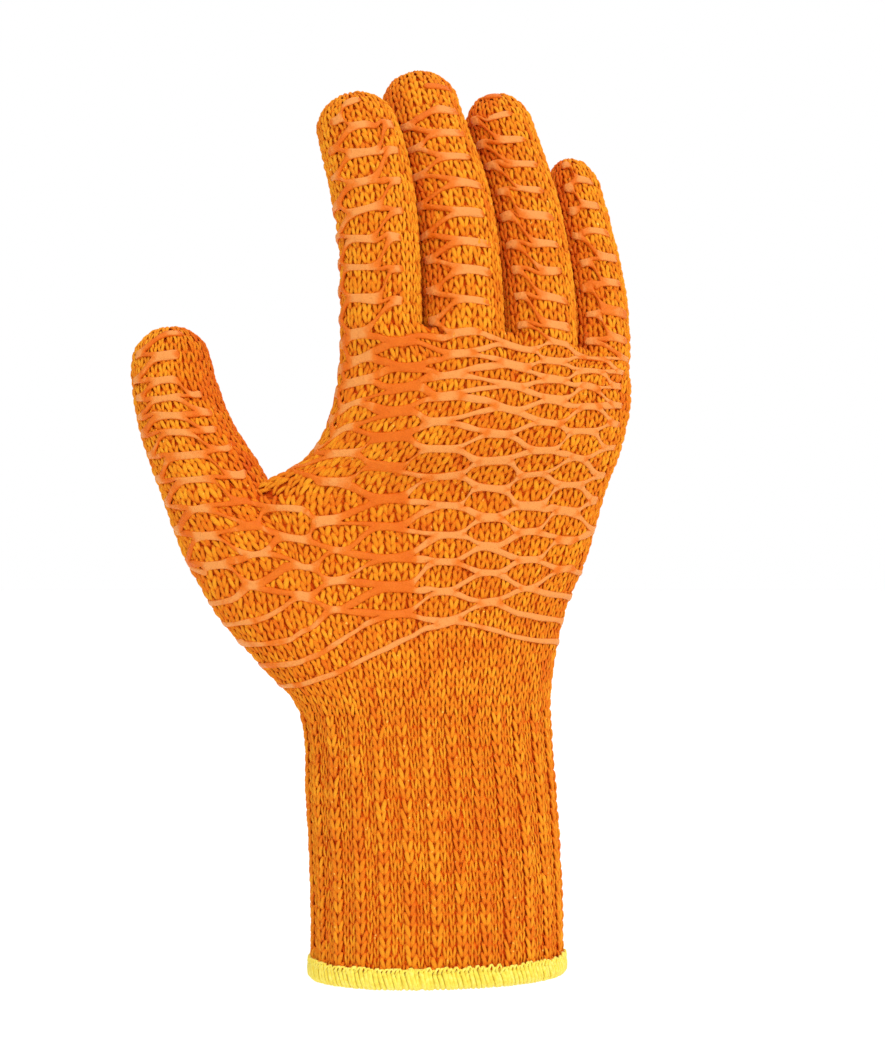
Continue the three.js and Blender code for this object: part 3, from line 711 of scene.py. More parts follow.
def string_yarn():
    """Spun polyester and cotton string, ring spun and knitted: matt, softly glowing, each stitch a little
    lighter or redder, sunk parts deep red-orange as painted shade, with the odd pale fibre."""
    material, tree, shader = new_material("spun_string_yarn")
    place = add_node(tree, "ShaderNodeTexCoord").outputs["Object"]
    tint = add_node(tree, "ShaderNodeAttribute", {"attribute_name": "tint"}).outputs["Fac"]
    depth = add_node(tree, "ShaderNodeAttribute", {"attribute_name": "depth"}).outputs["Fac"]
    # Dye clouds 9 mm across on top of each stitch's tint, which holds its own random tone and the stalls'
    # painted shade
    cloud = add_node(tree, "ShaderNodeTexNoise", inputs={"Vector": place, "Scale": 1 / (9 * MM), "Detail": 3})
    hue = add_node(tree, "ShaderNodeMath", {"operation": "MULTIPLY_ADD"},
                   {0: cloud.outputs["Fac"], 1: 0.4, 2: tint}).outputs[0]
    top = add_node(tree, "ShaderNodeValToRGB", inputs={"Fac": hue},
                   stops=((0.4, "#D85008"), (0.65, "#E46A08"), (0.85, "#E9840E"), (1.0, "#F49E1C")))
    # Painted shade in crevices: the ramp that the sunk parts of the legs take, redder than the top one
    deep = add_node(tree, "ShaderNodeValToRGB", inputs={"Fac": hue},
                    stops=((0.4, "#E04A04"), (0.85, "#F4720A"), (1.0, "#F8840C")))
    body = add_node(tree, "ShaderNodeMix", {"data_type": "RGBA"},
                    {0: depth, 6: deep.outputs["Color"], 7: top.outputs["Color"]}).outputs[2]
    # Fibres along the yarn, 12 round it or 0.3 mm apart, a little paler and darker
    uv = add_node(tree, "ShaderNodeUVMap").outputs["UV"]
    fibre_place = add_node(tree, "ShaderNodeMapping", inputs={"Vector": uv, "Scale": (12, 1.2, 1)}).outputs[0]
    fibre_noise = add_node(tree, "ShaderNodeTexNoise",
                           inputs={"Vector": fibre_place, "Scale": 1, "Detail": 2, "Roughness": 0.6})
    fibres = fibre_noise.outputs["Fac"]
    fibre_share = add_node(tree, "ShaderNodeMapRange",
                           inputs={"Value": fibres, "From Min": 0.45, "From Max": 0.75, "To Max": 0.5})
    streaked = add_node(tree, "ShaderNodeMix", {"data_type": "RGBA"},
                        {0: fibre_share.outputs[0], 6: body, 7: linear("#FFB038")})
    # The odd pale undyed fibre, a speck about 1 mm across
    speck_noise = add_node(tree, "ShaderNodeTexNoise",
                           inputs={"Vector": place, "Scale": 1 / (1.1 * MM), "Detail": 1, "Roughness": 0.4})
    speck = add_node(tree, "ShaderNodeMapRange",
                     inputs={"Value": speck_noise.outputs["Fac"], "From Min": 0.74, "From Max": 0.8,
                             "To Max": 0.8})
    colour = add_node(tree, "ShaderNodeMix", {"data_type": "RGBA"},
                      {0: speck.outputs[0], 6: streaked.outputs[2], 7: linear("#FFD060")})
    # The twist of the plies, a soft groove that winds round the yarn about once in 3 mm
    ply_place = add_node(tree, "ShaderNodeMapping", inputs={"Vector": uv, "Scale": (2, 1 / 1.6, 1)})
    plies = add_node(tree, "ShaderNodeTexWave", {"wave_type": "BANDS", "bands_direction": "DIAGONAL"},
                     {"Vector": ply_place.outputs[0], "Scale": 0.35, "Distortion": 1.0, "Detail": 2})
    relief = add_node(tree, "ShaderNodeMath", {"operation": "MULTIPLY_ADD"},
                      {0: fibres, 1: 0.9, 2: plies.outputs["Fac"]})
    bump = add_node(tree, "ShaderNodeBump",
                    inputs={"Height": relief.outputs[0], "Strength": 0.5, "Distance": 0.12 * MM})
    set_inputs(tree, shader, {"Base Color": colour.outputs[2], "Roughness": 0.85, "Specular IOR Level": 0.15,
                              "Sheen Weight": 0.08, "Sheen Roughness": 0.5, "Sheen Tint": linear("#FFB050"),
                              "Normal": bump.outputs[0]})
    return material


def loop_backs():
    """The same string seen from behind its loops: one wavy ridge a course, waving once a wale, deep orange,
    with painted shade making it darker between the ridges."""
    material, tree, shader = new_material("spun_string_loop_backs")
    uv = add_node(tree, "ShaderNodeUVMap").outputs["UV"]
    turns = add_node(tree, "ShaderNodeVectorMath", {"operation": "SCALE"}, {0: uv, "Scale": 2 * math.pi})
    split = add_node(tree, "ShaderNodeSeparateXYZ", inputs={0: turns.outputs[0]})
    wave = add_node(tree, "ShaderNodeMath", {"operation": "SINE"}, {0: split.outputs["X"]})
    phase = add_node(tree, "ShaderNodeMath", {"operation": "MULTIPLY_ADD"},
                     {0: wave.outputs[0], 1: -2 * math.pi * PURL_WAVE, 2: split.outputs["Y"]})
    ridge = add_node(tree, "ShaderNodeMath", {"operation": "SINE"}, {0: phase.outputs[0]})
    height = add_node(tree, "ShaderNodeMapRange", inputs={"Value": ridge.outputs[0], "From Min": -1.0})
    # Painted shade: darker orange in the troughs between the ridges than on their crests
    colour = add_node(tree, "ShaderNodeMix", {"data_type": "RGBA"},
                      {0: height.outputs[0], 6: linear("#D24404"), 7: linear("#F26C08")})
    bump = add_node(tree, "ShaderNodeBump",
                    inputs={"Height": height.outputs[0], "Strength": 1.0, "Distance": 0.6 * MM})
    set_inputs(tree, shader, {"Base Color": colour.outputs[2], "Roughness": 0.9, "Specular IOR Level": 0.1,
                              "Normal": bump.outputs[0]})
    return material


def grip_compound():
    """Soft vinyl grip compound, run on warm and cured: satin, pale peach where thick, and as orange as the
    yarn where it thins out to a film."""
    material, tree, shader = new_material("soft_vinyl_grip_compound")
    place = add_node(tree, "ShaderNodeTexCoord").outputs["Object"]
    thick = add_node(tree, "ShaderNodeAttribute", {"attribute_name": "thick"}).outputs["Fac"]
    # Thickness wanders over 11 mm, and in blisters of 1.5 mm
    cloud = add_node(tree, "ShaderNodeTexNoise",
                     inputs={"Vector": place, "Scale": 1 / (11 * MM), "Detail": 2})
    blister = add_node(tree, "ShaderNodeTexNoise",
                       inputs={"Vector": place, "Scale": 1 / (1.5 * MM), "Detail": 2}).outputs["Fac"]
    wander = add_node(tree, "ShaderNodeMath", {"operation": "MULTIPLY_ADD"},
                      {0: cloud.outputs["Fac"], 1: 0.5, 2: thick}).outputs[0]
    depth = add_node(tree, "ShaderNodeMath", {"operation": "MULTIPLY_ADD"}, {0: blister, 1: 0.3, 2: wander})
    body = add_node(tree, "ShaderNodeValToRGB", inputs={"Fac": depth.outputs[0]},
                    stops=((0.5, "#E26806"), (0.77, "#E87414"), (1.0, "#EE9648")))
    bump = add_node(tree, "ShaderNodeBump", inputs={"Height": blister, "Strength": 1.0, "Distance": 0.6 * MM})
    set_inputs(tree, shader, {"Base Color": body.outputs["Color"], "Roughness": 0.55, "IOR": 1.5,
                              "Specular IOR Level": 0.2, "Normal": bump.outputs[0]})
    return material


def overlock_thread():
    """Textured polyester overlock thread: bright lemon yellow, soft sheen."""
    material, tree, shader = new_material("textured_polyester_thread")
    place = add_node(tree, "ShaderNodeTexCoord").outputs["Object"]
    # Shades over 1.2 mm, and filaments 0.3 mm apart
    shade = add_node(tree, "ShaderNodeTexNoise", inputs={"Vector": place, "Scale": 1 / (1.2 * MM)})
    body = add_node(tree, "ShaderNodeValToRGB", inputs={"Fac": shade.outputs["Fac"]},
                    stops=((0.25, "#F4D034"), (0.5, "#FAE448"), (0.8, "#FFF078")))
    filaments = add_node(tree, "ShaderNodeTexNoise", inputs={"Vector": place, "Scale": 1 / (0.3 * MM)})
    bump = add_node(tree, "ShaderNodeBump",
                    inputs={"Height": filaments.outputs["Fac"], "Strength": 0.4, "Distance": 0.12 * MM})
    set_inputs(tree, shader, {"Base Color": body.outputs["Color"], "Roughness": 0.6, "Sheen Weight": 0.2,
                              "Normal": bump.outputs[0]})
    return material


YARN_FINISH = string_yarn()
BACKING_FINISH = loop_backs()
COMPOUND = grip_compound()
THREAD = overlock_thread()


def dress(piece, nodes):
    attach(piece, "root")
    if nodes:
        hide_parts(*nodes)


# Knit pieces: name, tube, first and last course, CAD node
KNIT_PIECES = (
    ("cuff", "hand", 1, WRIST, "rib_cuff"),
    ("lower_palm", "hand", WRIST, SPLIT, "palm_body"),
    ("upper_palm", "upper", SPLIT, ROOT, "palm_body"),
) + tuple((name, name, TUBES[name].first, TUBES[name].last, f"{name}_stall") for name in STALLS)


def make_knit():
    rng = np.random.default_rng(SEED)
    for name, tube, first, last, node in KNIT_PIECES:
        stall = tube in STALLS
        dress(stitches(f"{name}_stitches", tube, first, last, rng), [node])
        start = first - (BACKING_LAP if stall or tube == "upper" else 0)
        dress(backing(f"{name}_loop_backs", tube, start, last, stall), [node])
    dress(cuff_inside("cuff_inner_loops"), ["rib_cuff"])


# The grip net: bars in columns up the hand, joined by thin strands to the bars of the columns beside.
# Its wales are counted as on the hand, and each tube's own count is so much higher.
WALE_OFFSET = {"hand": 0, "upper": -HAND_TO_UPPER, "thumb": THUMB_SIDE + TWIST, "index": 9 - HAND_TO_UPPER,
               "middle": -10 - HAND_TO_UPPER, "ring": -17 - HAND_TO_UPPER, "little": -24 - HAND_TO_UPPER}
TUBE_BELOW = {"upper": "hand", "thumb": "hand", "index": "upper", "middle": "upper", "ring": "upper",
              "little": "upper"}
# Each column: its lowest bar's course, then for each tube how much its rows slip in courses, half the
# length of its bars in wales, and the wales that it passes, as (course, wale)
NET_COLUMNS = (
    (42, {"hand": (-2.0, 0.3, ((39.6, -3.1), (45.1, -1.8))),
          "thumb": (-2.0, 0.4, ((48, -1), (56.4, -1.2), (66.7, -0.2)))}),
    (41.5, {"hand": (-1.2, 0.6, ((39.9, 0.6), (43.8, 1.2), (47.1, 2))),
            "thumb": (-1.2, 1.1, ((49.4, 2.6), (54.8, 3.2), (59.6, 2.4), (64, 3.6), (67.1, 4.6)))}),
    (39, {"hand": (-2.0, 0.4, ((39.6, 3.7), (42.2, 4.6), (47.7, 5.5))),
          "thumb": (-2.0, 0.5, ((51, 6.2), (56.7, 6.4)))}),
    (38, {"hand": (-1.7, 0.4, ((37.6, 7.8), (47, 8.2))),
          "upper": (-0.3, 0.4, ((53, 5.9), (66, 5))),
          "index": (-0.3, 0.4, ((66, 5.0), (76, 5.2), (81, 6.6), (86, 8.1)))}),
    (36.5, {"hand": (-1.4, 0.5, ((36.7, 10), (42.9, 10.6), (49, 10.3))),
            "upper": (-0.5, 0.9, ((50, 10.4), (52.3, 9.8), (54.8, 8.6), (57.5, 7.7), (66, 7.8))),
            "index": (0.0, 1.0, ((66, 8.4), (74, 8.7), (79.3, 9.4), (84.8, 10.4), (88, 10.8)))}),
    (35, {"hand": (-0.8, 1.1, ((35.4, 15.3), (41.9, 15.1), (48.3, 15))),
          "upper": (-0.3, 1.0, ((50, 14.5), (51.5, 13.8), (54.5, 12.7), (57.8, 12.2), (64.5, 11.8))),
          "index": (1.2, 0.4, ((66, 12.0), (74.5, 12.0), (83, 13.4))),
          "middle": (0.0, 0.3, ((66, 13.9), (76.6, 14.2), (86, 15.2)))}),
    (35, {"hand": (0.0, 0.8, ((35.6, 20.4), (41.3, 19.9), (47.6, 19.6))),
          "upper": (0.0, 1.0, ((49.5, 19.1), (51, 18.5), (54, 17.4), (57, 16.2), (61.2, 16), (65, 17))),
          "middle": (0.0, 1.4, ((65.6, 18.3), (77.3, 18.7), (80.3, 19.2), (88, 19.0)))}),
    (37, {"hand": (0.3, 0.8, ((37.6, 24.6), (43.4, 23.5), (49, 22.9))),
          "upper": (0.0, 1.0, ((50, 22.7), (52.1, 22.2), (54.9, 21.6), (63, 21.8))),
          "ring": (0.6, 0.3, ((66, 21.7), (80, 21.6), (90, 20.8)))}),
    (38, {"hand": (0.0, 0.8, ((38.8, 28.6), (44.7, 27), (49, 26.4))),
          "upper": (0.0, 0.9, ((50.2, 26.6), (53, 26.3), (55.6, 26.1), (63, 25.7))),
          "ring": (-1.2, 1.1, ((67, 25.6), (76.2, 25.3), (85.2, 24.9), (91, 23.8)))}),
    (40, {"hand": (0.4, 0.7, ((41, 32.1), (48.8, 29.6))),
          "upper": (0.3, 0.8, ((50.2, 29.8), (54.3, 29.7), (62.5, 29.5))),
          "little": (0.0, 0.3, ((66, 28.8), (81, 28.7), (86, 29.0)))}),
    (43, {"hand": (0.3, 0.4, ((43.1, 35.2), (49, 32.8))),
          "upper": (0.0, 0.5, ((50.1, 32.9), (62.4, 32.9))),
          "little": (-0.8, 1.0, ((66, 31.8), (80, 31.4), (86, 30.5)))}),
)
# Courses of the rows of bars, every second row on every second column
NET_ROWS = (0, 8, 12, 14, 16, 20, 22, 24, 30, 44)
NET_COURSES = (35.7, 47.7, 54.0, 56.9, 59.3, 63.5, 65.7, 68.6, 77.3, 97.8)
THUMB_COLUMNS = 3       # columns that run up the thumb
THUMB_ROWS_FROM = 47    # course from which their rows are closer
THUMB_ROWS_CLOSER = 0.93
BARE_TIP = 2.2          # courses without net at a stall's tip
PAST_PATH = 4           # courses by which a column may run on past its path
BELOW_LOWEST = 0.5      # courses by which a bar may lie below its column's lowest
LEAST_LAP = 0.6         # courses by which a row may start below its tube, where the tube below misses it
BAR_POINT = 0.6         # length of a bar's pointed end in wales
BAR_HIGH = 0.46         # half height in courses
BAR_PALE = 0.9
BAR_LEAST_PALE = 0.2
BAR_TILT = 0.08
NET_UNEVEN = 0.14       # how far off a bar's corners lie, in wales, and half that in courses
EDGE_UNEVEN = 1.5       # how much more so, as a share of the width, a strand's edges do
# How much rows, bars and strands differ: places in courses and wales, and the rest as shares
ROW_VARIES = 0.1
BAR_PLACE_VARIES = 0.15
BAR_LENGTH_VARIES = 0.15
BAR_HEIGHT_VARIES = 0.12
PALE_VARIES = 0.12
STRAND_VARIES = 0.2
TOP_VARIES = 0.06       # mm
STRAND_HIGH = 0.34
SHORTEST_STRAND = 0.2   # wales
STRAND_CUTS = 3
STRAND_STRAIGHT = 0.45  # how far a strand runs straight rather than on a soft wave
FILM_FROM = {2: 43, 5: 0}  # columns whose bars spread to a film below the fingers, and from which course
FILM_WIDER = 1.2
FILM_PALE = 0.3
LEFT_COLUMNS = 6        # columns by the thumb, where the compound has run out wider
LEFT_WIDER = 1.15
STALL_WIDER = 0.9
PALM_PALE = 0.75        # how pale a strand is, against a bar at 1
LEFT_PALE = 0.25
PALE_WALES = (13, 19)   # wales between which it turns from the left's to the palm's
STALL_PALE = 0.25
FREE_PALE = 0.3         # how much of its paleness a bar's end keeps that no strand joins
NET_TOP = 0.55          # height of the net off the knit in mm
STALL_LIFT = 0.35       # on the tighter curve of a stall
NET_FOOT = -0.5         # and of its underside, which is sunk in the yarn
NET_END_SUNK = 0.75     # how much lower a bar's end is that no strand joins
ENDS_CUTS = 3           # between two points of a loose strand
LEFT_ENDS_PALER = 0.3
RIGHT_ENDS_WIDE = 0.9
END_DROP = ((0.35, 1.7), (0.8, 1.0))    # the drop that ends one: wales past its last point, and width
# Strands that run on alone from the lowest bars, by column, as (wale, course)
LEFT_ENDS = {
    1: ((0, 41.3), (-3.2, 42.6)),
    2: ((2, 38.5), (-1.1, 38.5), (-3.6, 38.7)),
    3: ((5.8, 37.2), (3.7, 36.4), (1.7, 36.2), (-1.1, 36.3), (-3.6, 36.4)),
    4: ((8.1, 35.5), (6.1, 34.2), (4, 33.8), (1.4, 33.9), (-1.3, 34.2), (-3.6, 34.4)),
    5: ((12.5, 35.5), (11.3, 34.7), (8.9, 33.2), (6.2, 31.7), (4, 31.5), (0.9, 31.5), (-2.2, 31.4)),
    6: ((18.3, 35.1), (16.5, 34.1), (13, 32.5), (8.4, 30.3), (4.9, 29.3), (1.8, 29), (-1.5, 29.1)),
}
RIGHT_ENDS = {
    6: ((22.8, 35.3), (25.1, 34.8), (28.1, 33.9), (32.3, 33.1), (36.4, 32.8)),
    7: ((27.7, 36.4), (31, 35.6), (35.6, 35)),
    8: ((31.3, 38.1), (35.7, 37.4)),
    9: ((34.7, 40.2), (37.1, 40.1)),
}


def net_course(column, row, slip):
    course = np.interp(row, NET_ROWS, NET_COURSES) + slip
    if column >= THUMB_COLUMNS:
        return course
    return min(course, THUMB_ROWS_FROM + THUMB_ROWS_CLOSER * (course - THUMB_ROWS_FROM))


def own_wale(tube_name, wale, course, mirrored):
    """A tube's own wale number, on the back or mirrored to the palm side."""
    own = wale + WALE_OFFSET[tube_name]
    if not mirrored:
        return own
    twist = TWIST * np.clip((course - WRIST) / (SPLIT - WRIST), 0, 1) if tube_name == "hand" else 0
    return TUBES[tube_name].mirror - own - 2 * twist


class NetCage:
    """Flat outline of the net on the knit, as places (tube, wale, course, paleness) and faces of their
    numbers."""

    def __init__(self, rng):
        self.rng = rng
        self.spots = []
        self.faces = []
        self.bars = {}
        self.joined = set()     # edges of bars that a strand already joins
        self.sunk = set()       # spots where the compound thins out into the knit

    def spot(self, tube, wale, course, pale):
        self.spots.append((tube, wale, course, pale))
        return len(self.spots) - 1

    def bar(self, key, wale, course, half):
        """A bar pointed at both ends, for a key of (tube, column, row)."""
        film = key[0] not in STALLS and course > FILM_FROM.get(key[1], math.inf)
        high = BAR_HIGH * (FILM_WIDER if film else 1) * (1 + BAR_HEIGHT_VARIES * self.rng.normal())
        pale = np.clip(BAR_PALE + PALE_VARIES * self.rng.normal(), BAR_LEAST_PALE, 1)
        pale *= FILM_PALE if film else 1
        tilt = BAR_TILT * self.rng.normal()
        # Across, up and paleness of its corners, and then of three points up its middle
        shape = ((-half - BAR_POINT, 0, 0.4), (-half, -high, 0.6), (half, -high, 0.6),
                 (half + BAR_POINT, 0, 0.4), (half, high, 0.6), (-half, high, 0.6),
                 (0, -0.9 * high, 0.8), (0, 0, 1), (0, 0.9 * high, 0.8))
        corners = []
        for x, y, part in shape:
            x_off, y_off = NET_UNEVEN * self.rng.normal(0, 1, 2)
            place = (wale + x + x_off, course + y + tilt * x + 0.5 * y_off)
            corners.append(self.spot(key[0], *place, pale * part))
        west, low_west, low_east, east, high_east, high_west, low, middle, high = corners
        self.faces += [(west, low_west, low, middle), (middle, low, low_east, east),
                       (middle, east, high_east, high), (west, middle, high, high_west)]
        self.bars[key] = corners

    def ribbon(self, edges):
        """Quads along a strand, between its (upper, lower) edges from left to right."""
        for (upper, lower), (next_upper, next_lower) in zip(edges, edges[1:]):
            self.faces.append((upper, lower, next_lower, next_upper))

    def cross(self, tube, wale, course, wide, paler=0):
        """The upper and the lower edge of a strand at one place."""
        pale = STALL_PALE if tube in STALLS else np.interp(wale, PALE_WALES, (LEFT_PALE, PALM_PALE))
        pale = np.clip(pale + paler + PALE_VARIES * self.rng.normal(), 0, BAR_PALE)
        above, below = STRAND_HIGH * wide * (1 + NET_UNEVEN * self.rng.normal(0, EDGE_UNEVEN, 2))
        return self.spot(tube, wale, course + above, pale), self.spot(tube, wale, course - below, pale)

    def strand(self, start, end, wide):
        """From the right edge of one bar to the left edge of the next, on a soft wave, in the later tube
        past its first course."""
        first, last = self.spots[start[0]][0], self.spots[end[0]][0]
        later, earlier = (first, last) if TUBE_BELOW.get(first) == last else (last, first)
        ends = [np.mean([self.spots[i][1:3] for i in edge], axis=0) for edge in (start, end)]
        if ends[1][0] - ends[0][0] < SHORTEST_STRAND:
            return
        self.joined |= {start, end}
        wide = wide * (1 + STRAND_VARIES * self.rng.normal())
        edges = [start]
        for cut in range(1, STRAND_CUTS + 1):
            part = cut / (STRAND_CUTS + 1)
            wave = STRAND_STRAIGHT * part + (1 - STRAND_STRAIGHT) * part * part * (3 - 2 * part)
            wale = ends[0][0] * (1 - part) + ends[1][0] * part
            course = ends[0][1] * (1 - wave) + ends[1][1] * wave
            tube = later if course >= TUBES[later].first else earlier
            edges.append(self.cross(tube, wale, course, wide))
        self.ribbon(edges + [end])

    def thin_out(self):
        """Sinks the ends of bars that no strand joins and makes them less pale, as all of a bar that stands
        alone."""
        joined = {number for edge in self.joined for number in edge}
        for bar in self.bars.values():
            free = [end for end in (bar[0], bar[3]) if end not in joined]
            for number in free if len(free) < 2 else bar:
                tube, wale, course, pale = self.spots[number]
                self.spots[number] = (tube, wale, course, FREE_PALE * pale)
            self.sunk.update(free)

    def lowest(self, column):
        """The key of a column's lowest bar."""
        rows = [row for tube, place, row in self.bars if tube == "hand" and place == column]
        return "hand", column, min(rows)

    def loose_ends(self):
        """Strands from the lowest bars out to either side, where no other strand joins the bar."""
        for column, path in LEFT_ENDS.items():
            west, low_west = self.bars[self.lowest(column)][:2]
            if (west, low_west) in self.joined:
                continue
            path = smooth_line(path, ENDS_CUTS)[0][::-1]
            edges = [self.cross("hand", wale, course, 1, LEFT_ENDS_PALER) for wale, course in path]
            self.joined.add((west, low_west))
            self.ribbon(edges + [(west, low_west)])
        for column, path in RIGHT_ENDS.items():
            _, _, low_east, east = self.bars[self.lowest(column)][:4]
            if (east, low_east) in self.joined:
                continue
            line = smooth_line(path, ENDS_CUTS)[0]
            edges = [self.cross("hand", wale, course, RIGHT_ENDS_WIDE) for wale, course in line]
            self.joined.add((east, low_east))
            wale, course = path[-1]
            edges += [self.cross("hand", wale + past, course, wide) for past, wide in END_DROP]
            self.ribbon([(east, low_east)] + edges)


def net_cage(rng):
    cage = NetCage(rng)
    waver = ROW_VARIES * rng.normal(0, 1, (len(NET_COLUMNS), NET_ROWS[-1]))
    for column, (lowest, tubes) in enumerate(NET_COLUMNS):
        for row in range(column % 2, NET_ROWS[-1], 2):
            for tube, (slip, half, path) in tubes.items():
                below = TUBE_BELOW.get(tube)
                if (below, column, row) in cage.bars:
                    continue
                course = net_course(column, row, slip) + waver[column, row]
                slack = LEAST_LAP if below in tubes else 0
                last = min(TUBES[tube].last - (BARE_TIP if tube in STALLS else 0), path[-1][0] + PAST_PATH)
                if max(TUBES[tube].first - slack, lowest - BELOW_LOWEST) <= course < last:
                    courses, wales = zip(*path)
                    wale = np.interp(course, courses, wales) + BAR_PLACE_VARIES * rng.normal()
                    length = half * (1 + BAR_LENGTH_VARIES * rng.normal())
                    cage.bar((tube, column, row), wale, course, length)
    for (tube, column, row), bar in list(cage.bars.items()):
        _, _, low_east, east, high_east = bar[:5]
        wide = LEFT_WIDER if column < LEFT_COLUMNS else 1
        wide = STALL_WIDER if tube in STALLS else wide
        for (other, next_column, next_row), after in cage.bars.items():
            if next_column != column + 1 or abs(next_row - row) != 1:
                continue
            if not runs_on(tube, column, other, next_column):
                continue
            west, low_west, _, _, _, high_west = after[:6]
            if next_row > row:
                cage.strand((high_east, east), (west, low_west), wide)
            else:
                cage.strand((east, low_east), (high_west, west), wide)
    cage.loose_ends()
    cage.thin_out()
    return cage


def runs_on(tube, column, other, next_column):
    """Whether the net runs on from a tube to the same one, or to the one above it, in the next column."""
    if {tube, other} == {"hand", "upper"} and column < THUMB_COLUMNS:
        return False
    return (other == tube
            or (TUBE_BELOW.get(other) == tube and other in NET_COLUMNS[column][1])
            or (TUBE_BELOW.get(tube) == other and tube in NET_COLUMNS[next_column][1]))


def make_net(name, cage, mirrored, rng):
    """The cage as a closed body on one face of the glove, rounded by one subdivision."""
    foot = np.empty((len(cage.spots), 3))
    top = np.empty_like(foot)
    for tube_name in TUBES:
        tube = TUBES[tube_name]
        chosen = [i for i, spot in enumerate(cage.spots) if spot[0] == tube_name]
        wale, course = np.array([cage.spots[i][1:3] for i in chosen]).T
        wale = own_wale(tube_name, wale, course, mirrored)
        foot[chosen] = tube.at(wale, course, np.full(len(chosen), NET_FOOT))
        lift = NET_TOP + (STALL_LIFT if tube_name in STALLS else 0)
        sunk = np.array([NET_END_SUNK * (i in cage.sunk) for i in chosen])
        top[chosen] = tube.at(wale, course, lift - sunk + TOP_VARIES * rng.normal(0, 1, len(chosen)))
    bm = bmesh.new()
    number = bm.verts.layers.int.new("number")
    thick = bm.verts.layers.float.new("thick")
    verts = []
    for index, point in enumerate(foot):
        vert = bm.verts.new(point * MM)
        vert[number] = index
        verts.append(vert)
    for face in cage.faces:
        bm.faces.new([verts[index] for index in (reversed(face) if mirrored else face)])
    raised = bmesh.ops.extrude_face_region(bm, geom=list(bm.faces), use_keep_orig=True)["geom"]
    for vert in raised:
        if isinstance(vert, bmesh.types.BMVert):
            vert.co = top[vert[number]] * MM
            vert[thick] = cage.spots[vert[number]][3]
    loose = [vert for vert in bm.verts if not vert.link_faces]
    bmesh.ops.delete(bm, geom=loose, context="VERTS")
    bmesh.ops.recalc_face_normals(bm, faces=bm.faces)
    piece = finished(bm, name, COMPOUND)
    round_off = piece.modifiers.new("rounded", "SUBSURF")
    round_off.levels = 1
    round_off.render_levels = 1
    return piece


def make_nets():
    rng = np.random.default_rng(SEED + 1)
    for face in ("back", "palm"):
        nodes = [f"{face}_net_on_{part}" for part in ("palm", *STALLS)]
        dress(make_net(f"{face}_grip_net", net_cage(rng), face == "palm", rng), nodes)


# The hem: a yellow overlocked edge, with threads that lean over it from face to face
HEM_THREADS = 150
# How much the threads differ: places in wales, lift in mm and the rest as shares
THREAD_PLACE = 0.04
THREAD_TALL = 0.05
THREAD_TALL_WAVE = 0.9  # radians a wale
THREAD_LEAN = 0.15
THREAD_LIFT = 0.05
THREAD_SIZE = 0.08
THREAD_FLATNESS = 0.75
THREAD_SIDES = 6
THREAD_OUTWARD = 0.5    # how much a thread's flat side follows the knit, against the curve of its own path
HEM_PATH = np.array([    # course, height off the knit in mm, lean in wales
    (1.62, 0.10, 0.00), (1.30, 0.72, 0.10), (0.75, 0.95, 0.28), (0.22, 0.85, 0.46),
    (-0.10, 0.00, 0.56), (-0.16, -1.10, 0.60), (-0.08, -2.20, 0.62), (0.30, -2.75, 0.66),
    (1.00, -2.80, 0.80), (1.60, -2.40, 0.95),
])
CHAIN_PATH = np.array([  # the loops along the band's top edge, each through the one before
    (1.22, 0.70, -0.10), (1.50, 0.95, 0.05), (1.78, 0.80, 0.28), (1.80, 0.55, 0.48),
    (1.58, 0.75, 0.62), (1.28, 0.60, 0.60),
])
# Each piece of thread, its path and half its width
HEM_PATHS = (("hem_overlock_threads", HEM_PATH, 0.66), ("hem_chain_loops", CHAIN_PATH, 0.42))
# The band under them: course and height off the knit
HEM_PROFILE = ((1.5, 0.1), (0.9, 0.6), (0.25, 0.6), (-0.1, -0.2), (-0.2, -1.1), (-0.1, -2.0),
               (0.3, -2.4), (0.9, -2.45), (1.5, -2.1))


def hem_threads(name, path, half, rng):
    """Threads along one path all round the hem, each a little different."""
    tube = TUBES["hand"]
    start = np.arange(HEM_THREADS) / HEM_THREADS * tube.wales
    start += THREAD_PLACE * rng.normal(0, 1, HEM_THREADS)
    tall = 1 + THREAD_TALL * rng.normal(0, 1, HEM_THREADS) + THREAD_TALL * np.sin(start * THREAD_TALL_WAVE)
    lean = 1 + THREAD_LEAN * rng.normal(0, 1, HEM_THREADS)
    course = path[:, 0] * np.where(path[:, 0] > 1, tall[:, None], 1)
    wale = start[:, None] + path[:, 2] * lean[:, None]
    centres = tube.at(wale, course, path[:, 1] + THREAD_LIFT * rng.normal(0, 1, (HEM_THREADS, 1)))
    outward = THREAD_OUTWARD * tube.normal(wale, course)
    ups = unit(centres - centres.mean(axis=1, keepdims=True)) + outward
    wide = np.full(centres.shape[:2], half) * (1 + THREAD_SIZE * rng.normal(0, 1, (HEM_THREADS, 1)))
    points, faces, uv = threads(centres, ups, wide, wide * THREAD_FLATNESS, THREAD_SIDES)
    dress(new_piece(name, points, faces, THREAD, uv=uv), ["overlock_hem"])


def make_hem():
    tube = TUBES["hand"]
    rng = np.random.default_rng(SEED + 2)
    for name, path, half in HEM_PATHS:
        hem_threads(name, path, half, rng)
    corners = np.array(HEM_PROFILE + HEM_PROFILE[:1])

    def place(across, up):
        course, height = (np.interp(up, np.linspace(0, 1, len(corners)), values) for values in corners.T)
        return tube.at(across * tube.wales, course, height)

    bm = bmesh.new()
    wrapped_sheet(bm, 2 * tube.wales, len(HEM_PROFILE), place, (tube.wales, 3))
    bmesh.ops.recalc_face_normals(bm, faces=bm.faces)
    dress(finished(bm, "hem_band", THREAD), ["overlock_hem"])


make_knit()
make_nets()
make_hem()


# Stage: pale floor, soft lights and the camera of the photo
FLOOR_LEVEL = -120
STAGE_SIZE = 8000


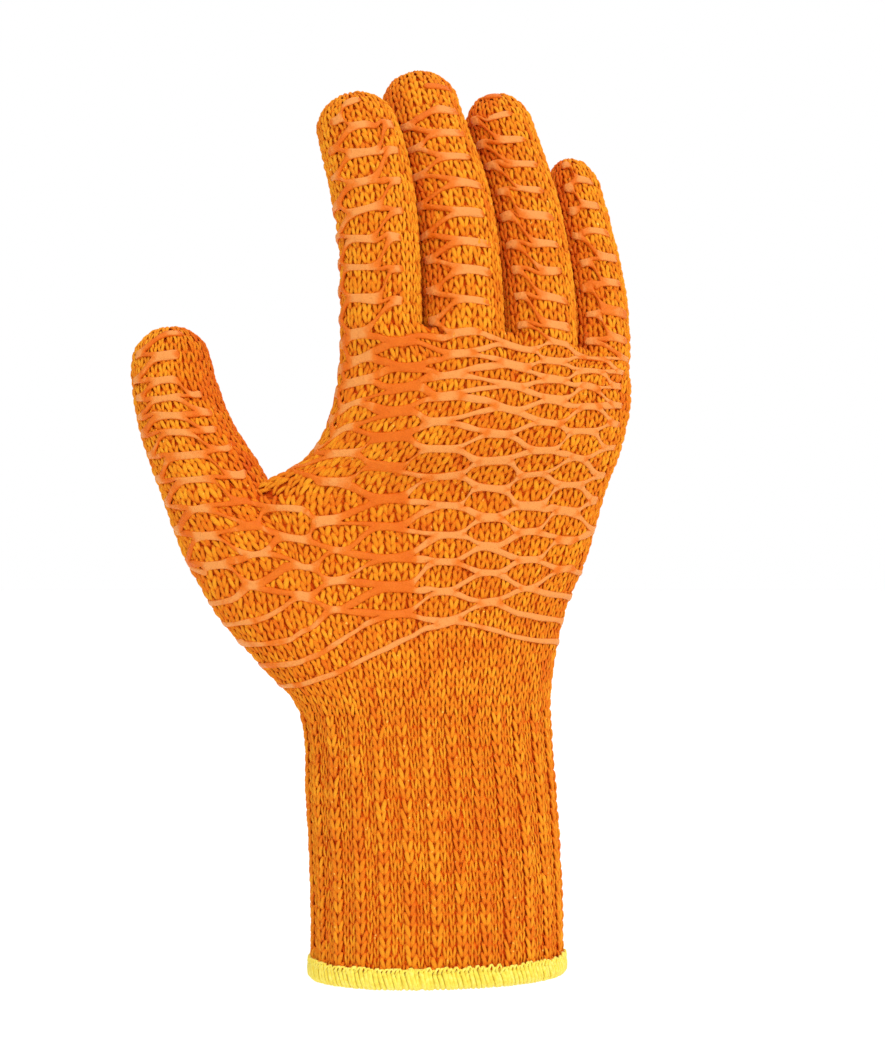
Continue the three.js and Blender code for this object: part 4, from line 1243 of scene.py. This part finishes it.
def make_stage():
    material, tree, shader = new_material("pale_paper")
    set_inputs(tree, shader, {"Base Color": linear("#FFFFFF"), "Roughness": 0.9})
    mesh = bpy.data.meshes.new("floor")
    bm = bmesh.new()
    bmesh.ops.create_grid(bm, x_segments=1, y_segments=1, size=STAGE_SIZE * MM)
    bmesh.ops.translate(bm, verts=bm.verts, vec=(0, 0, FLOOR_LEVEL * MM))
    bm.to_mesh(mesh)
    bm.free()
    mesh.materials.append(material)
    floor = placed("floor", mesh)


def make_world():
    """White surroundings, half as bright on the glove as in the picture."""
    world = bpy.data.worlds.new("studio")
    world.use_nodes = True
    tree = world.node_tree
    seen = add_node(tree, "ShaderNodeLightPath").outputs["Is Camera Ray"]
    strength = add_node(tree, "ShaderNodeMapRange", inputs={"Value": seen, "To Min": 0.5, "To Max": 1.0})
    background = {"Color": linear("#FFFFFF"), "Strength": strength.outputs[0]}
    set_inputs(tree, tree.nodes["Background"], background)
    bpy.context.scene.world = world


# Wide soft lights, as even on the floor as on the glove: azimuth, where 0 shines from the camera's side,
# height, strength and softness, with the angles in degrees
SUNS = {"key": (38, 38, 1.25, 50), "fill": (-45, 25, 0.4, 80),
        "top": (0, 80, 0.8, 90), "back": (155, 25, 0.8, 70)}


def make_lights():
    for name, (azimuth, height, strength, softness) in SUNS.items():
        light = bpy.data.lights.new(name, "SUN")
        light.energy = strength
        light.angle = math.radians(softness)
        holder = placed(name, light)
        holder.rotation_euler = (math.radians(90 - height), 0, math.radians(azimuth))


CAMERA_PLACE = (1.35, -701, 134.7)
VIEW_HEIGHT = 313.8     # what the photo's height covers at the back of the hand
VIEW_DISTANCE = 700     # from there to the camera
SENSOR = 36


def make_camera():
    data = bpy.data.cameras.new("photo_camera")
    data.sensor_fit = "VERTICAL"
    data.sensor_height = SENSOR
    data.lens = SENSOR * VIEW_DISTANCE / VIEW_HEIGHT
    camera = placed("photo_camera", data)
    camera.location = np.array(CAMERA_PLACE) * MM
    camera.rotation_euler = (math.pi / 2, 0, 0)
    bpy.context.scene.camera = camera


make_stage()
make_world()
make_lights()
make_camera()

bpy.context.scene.view_settings.view_transform = "Standard"
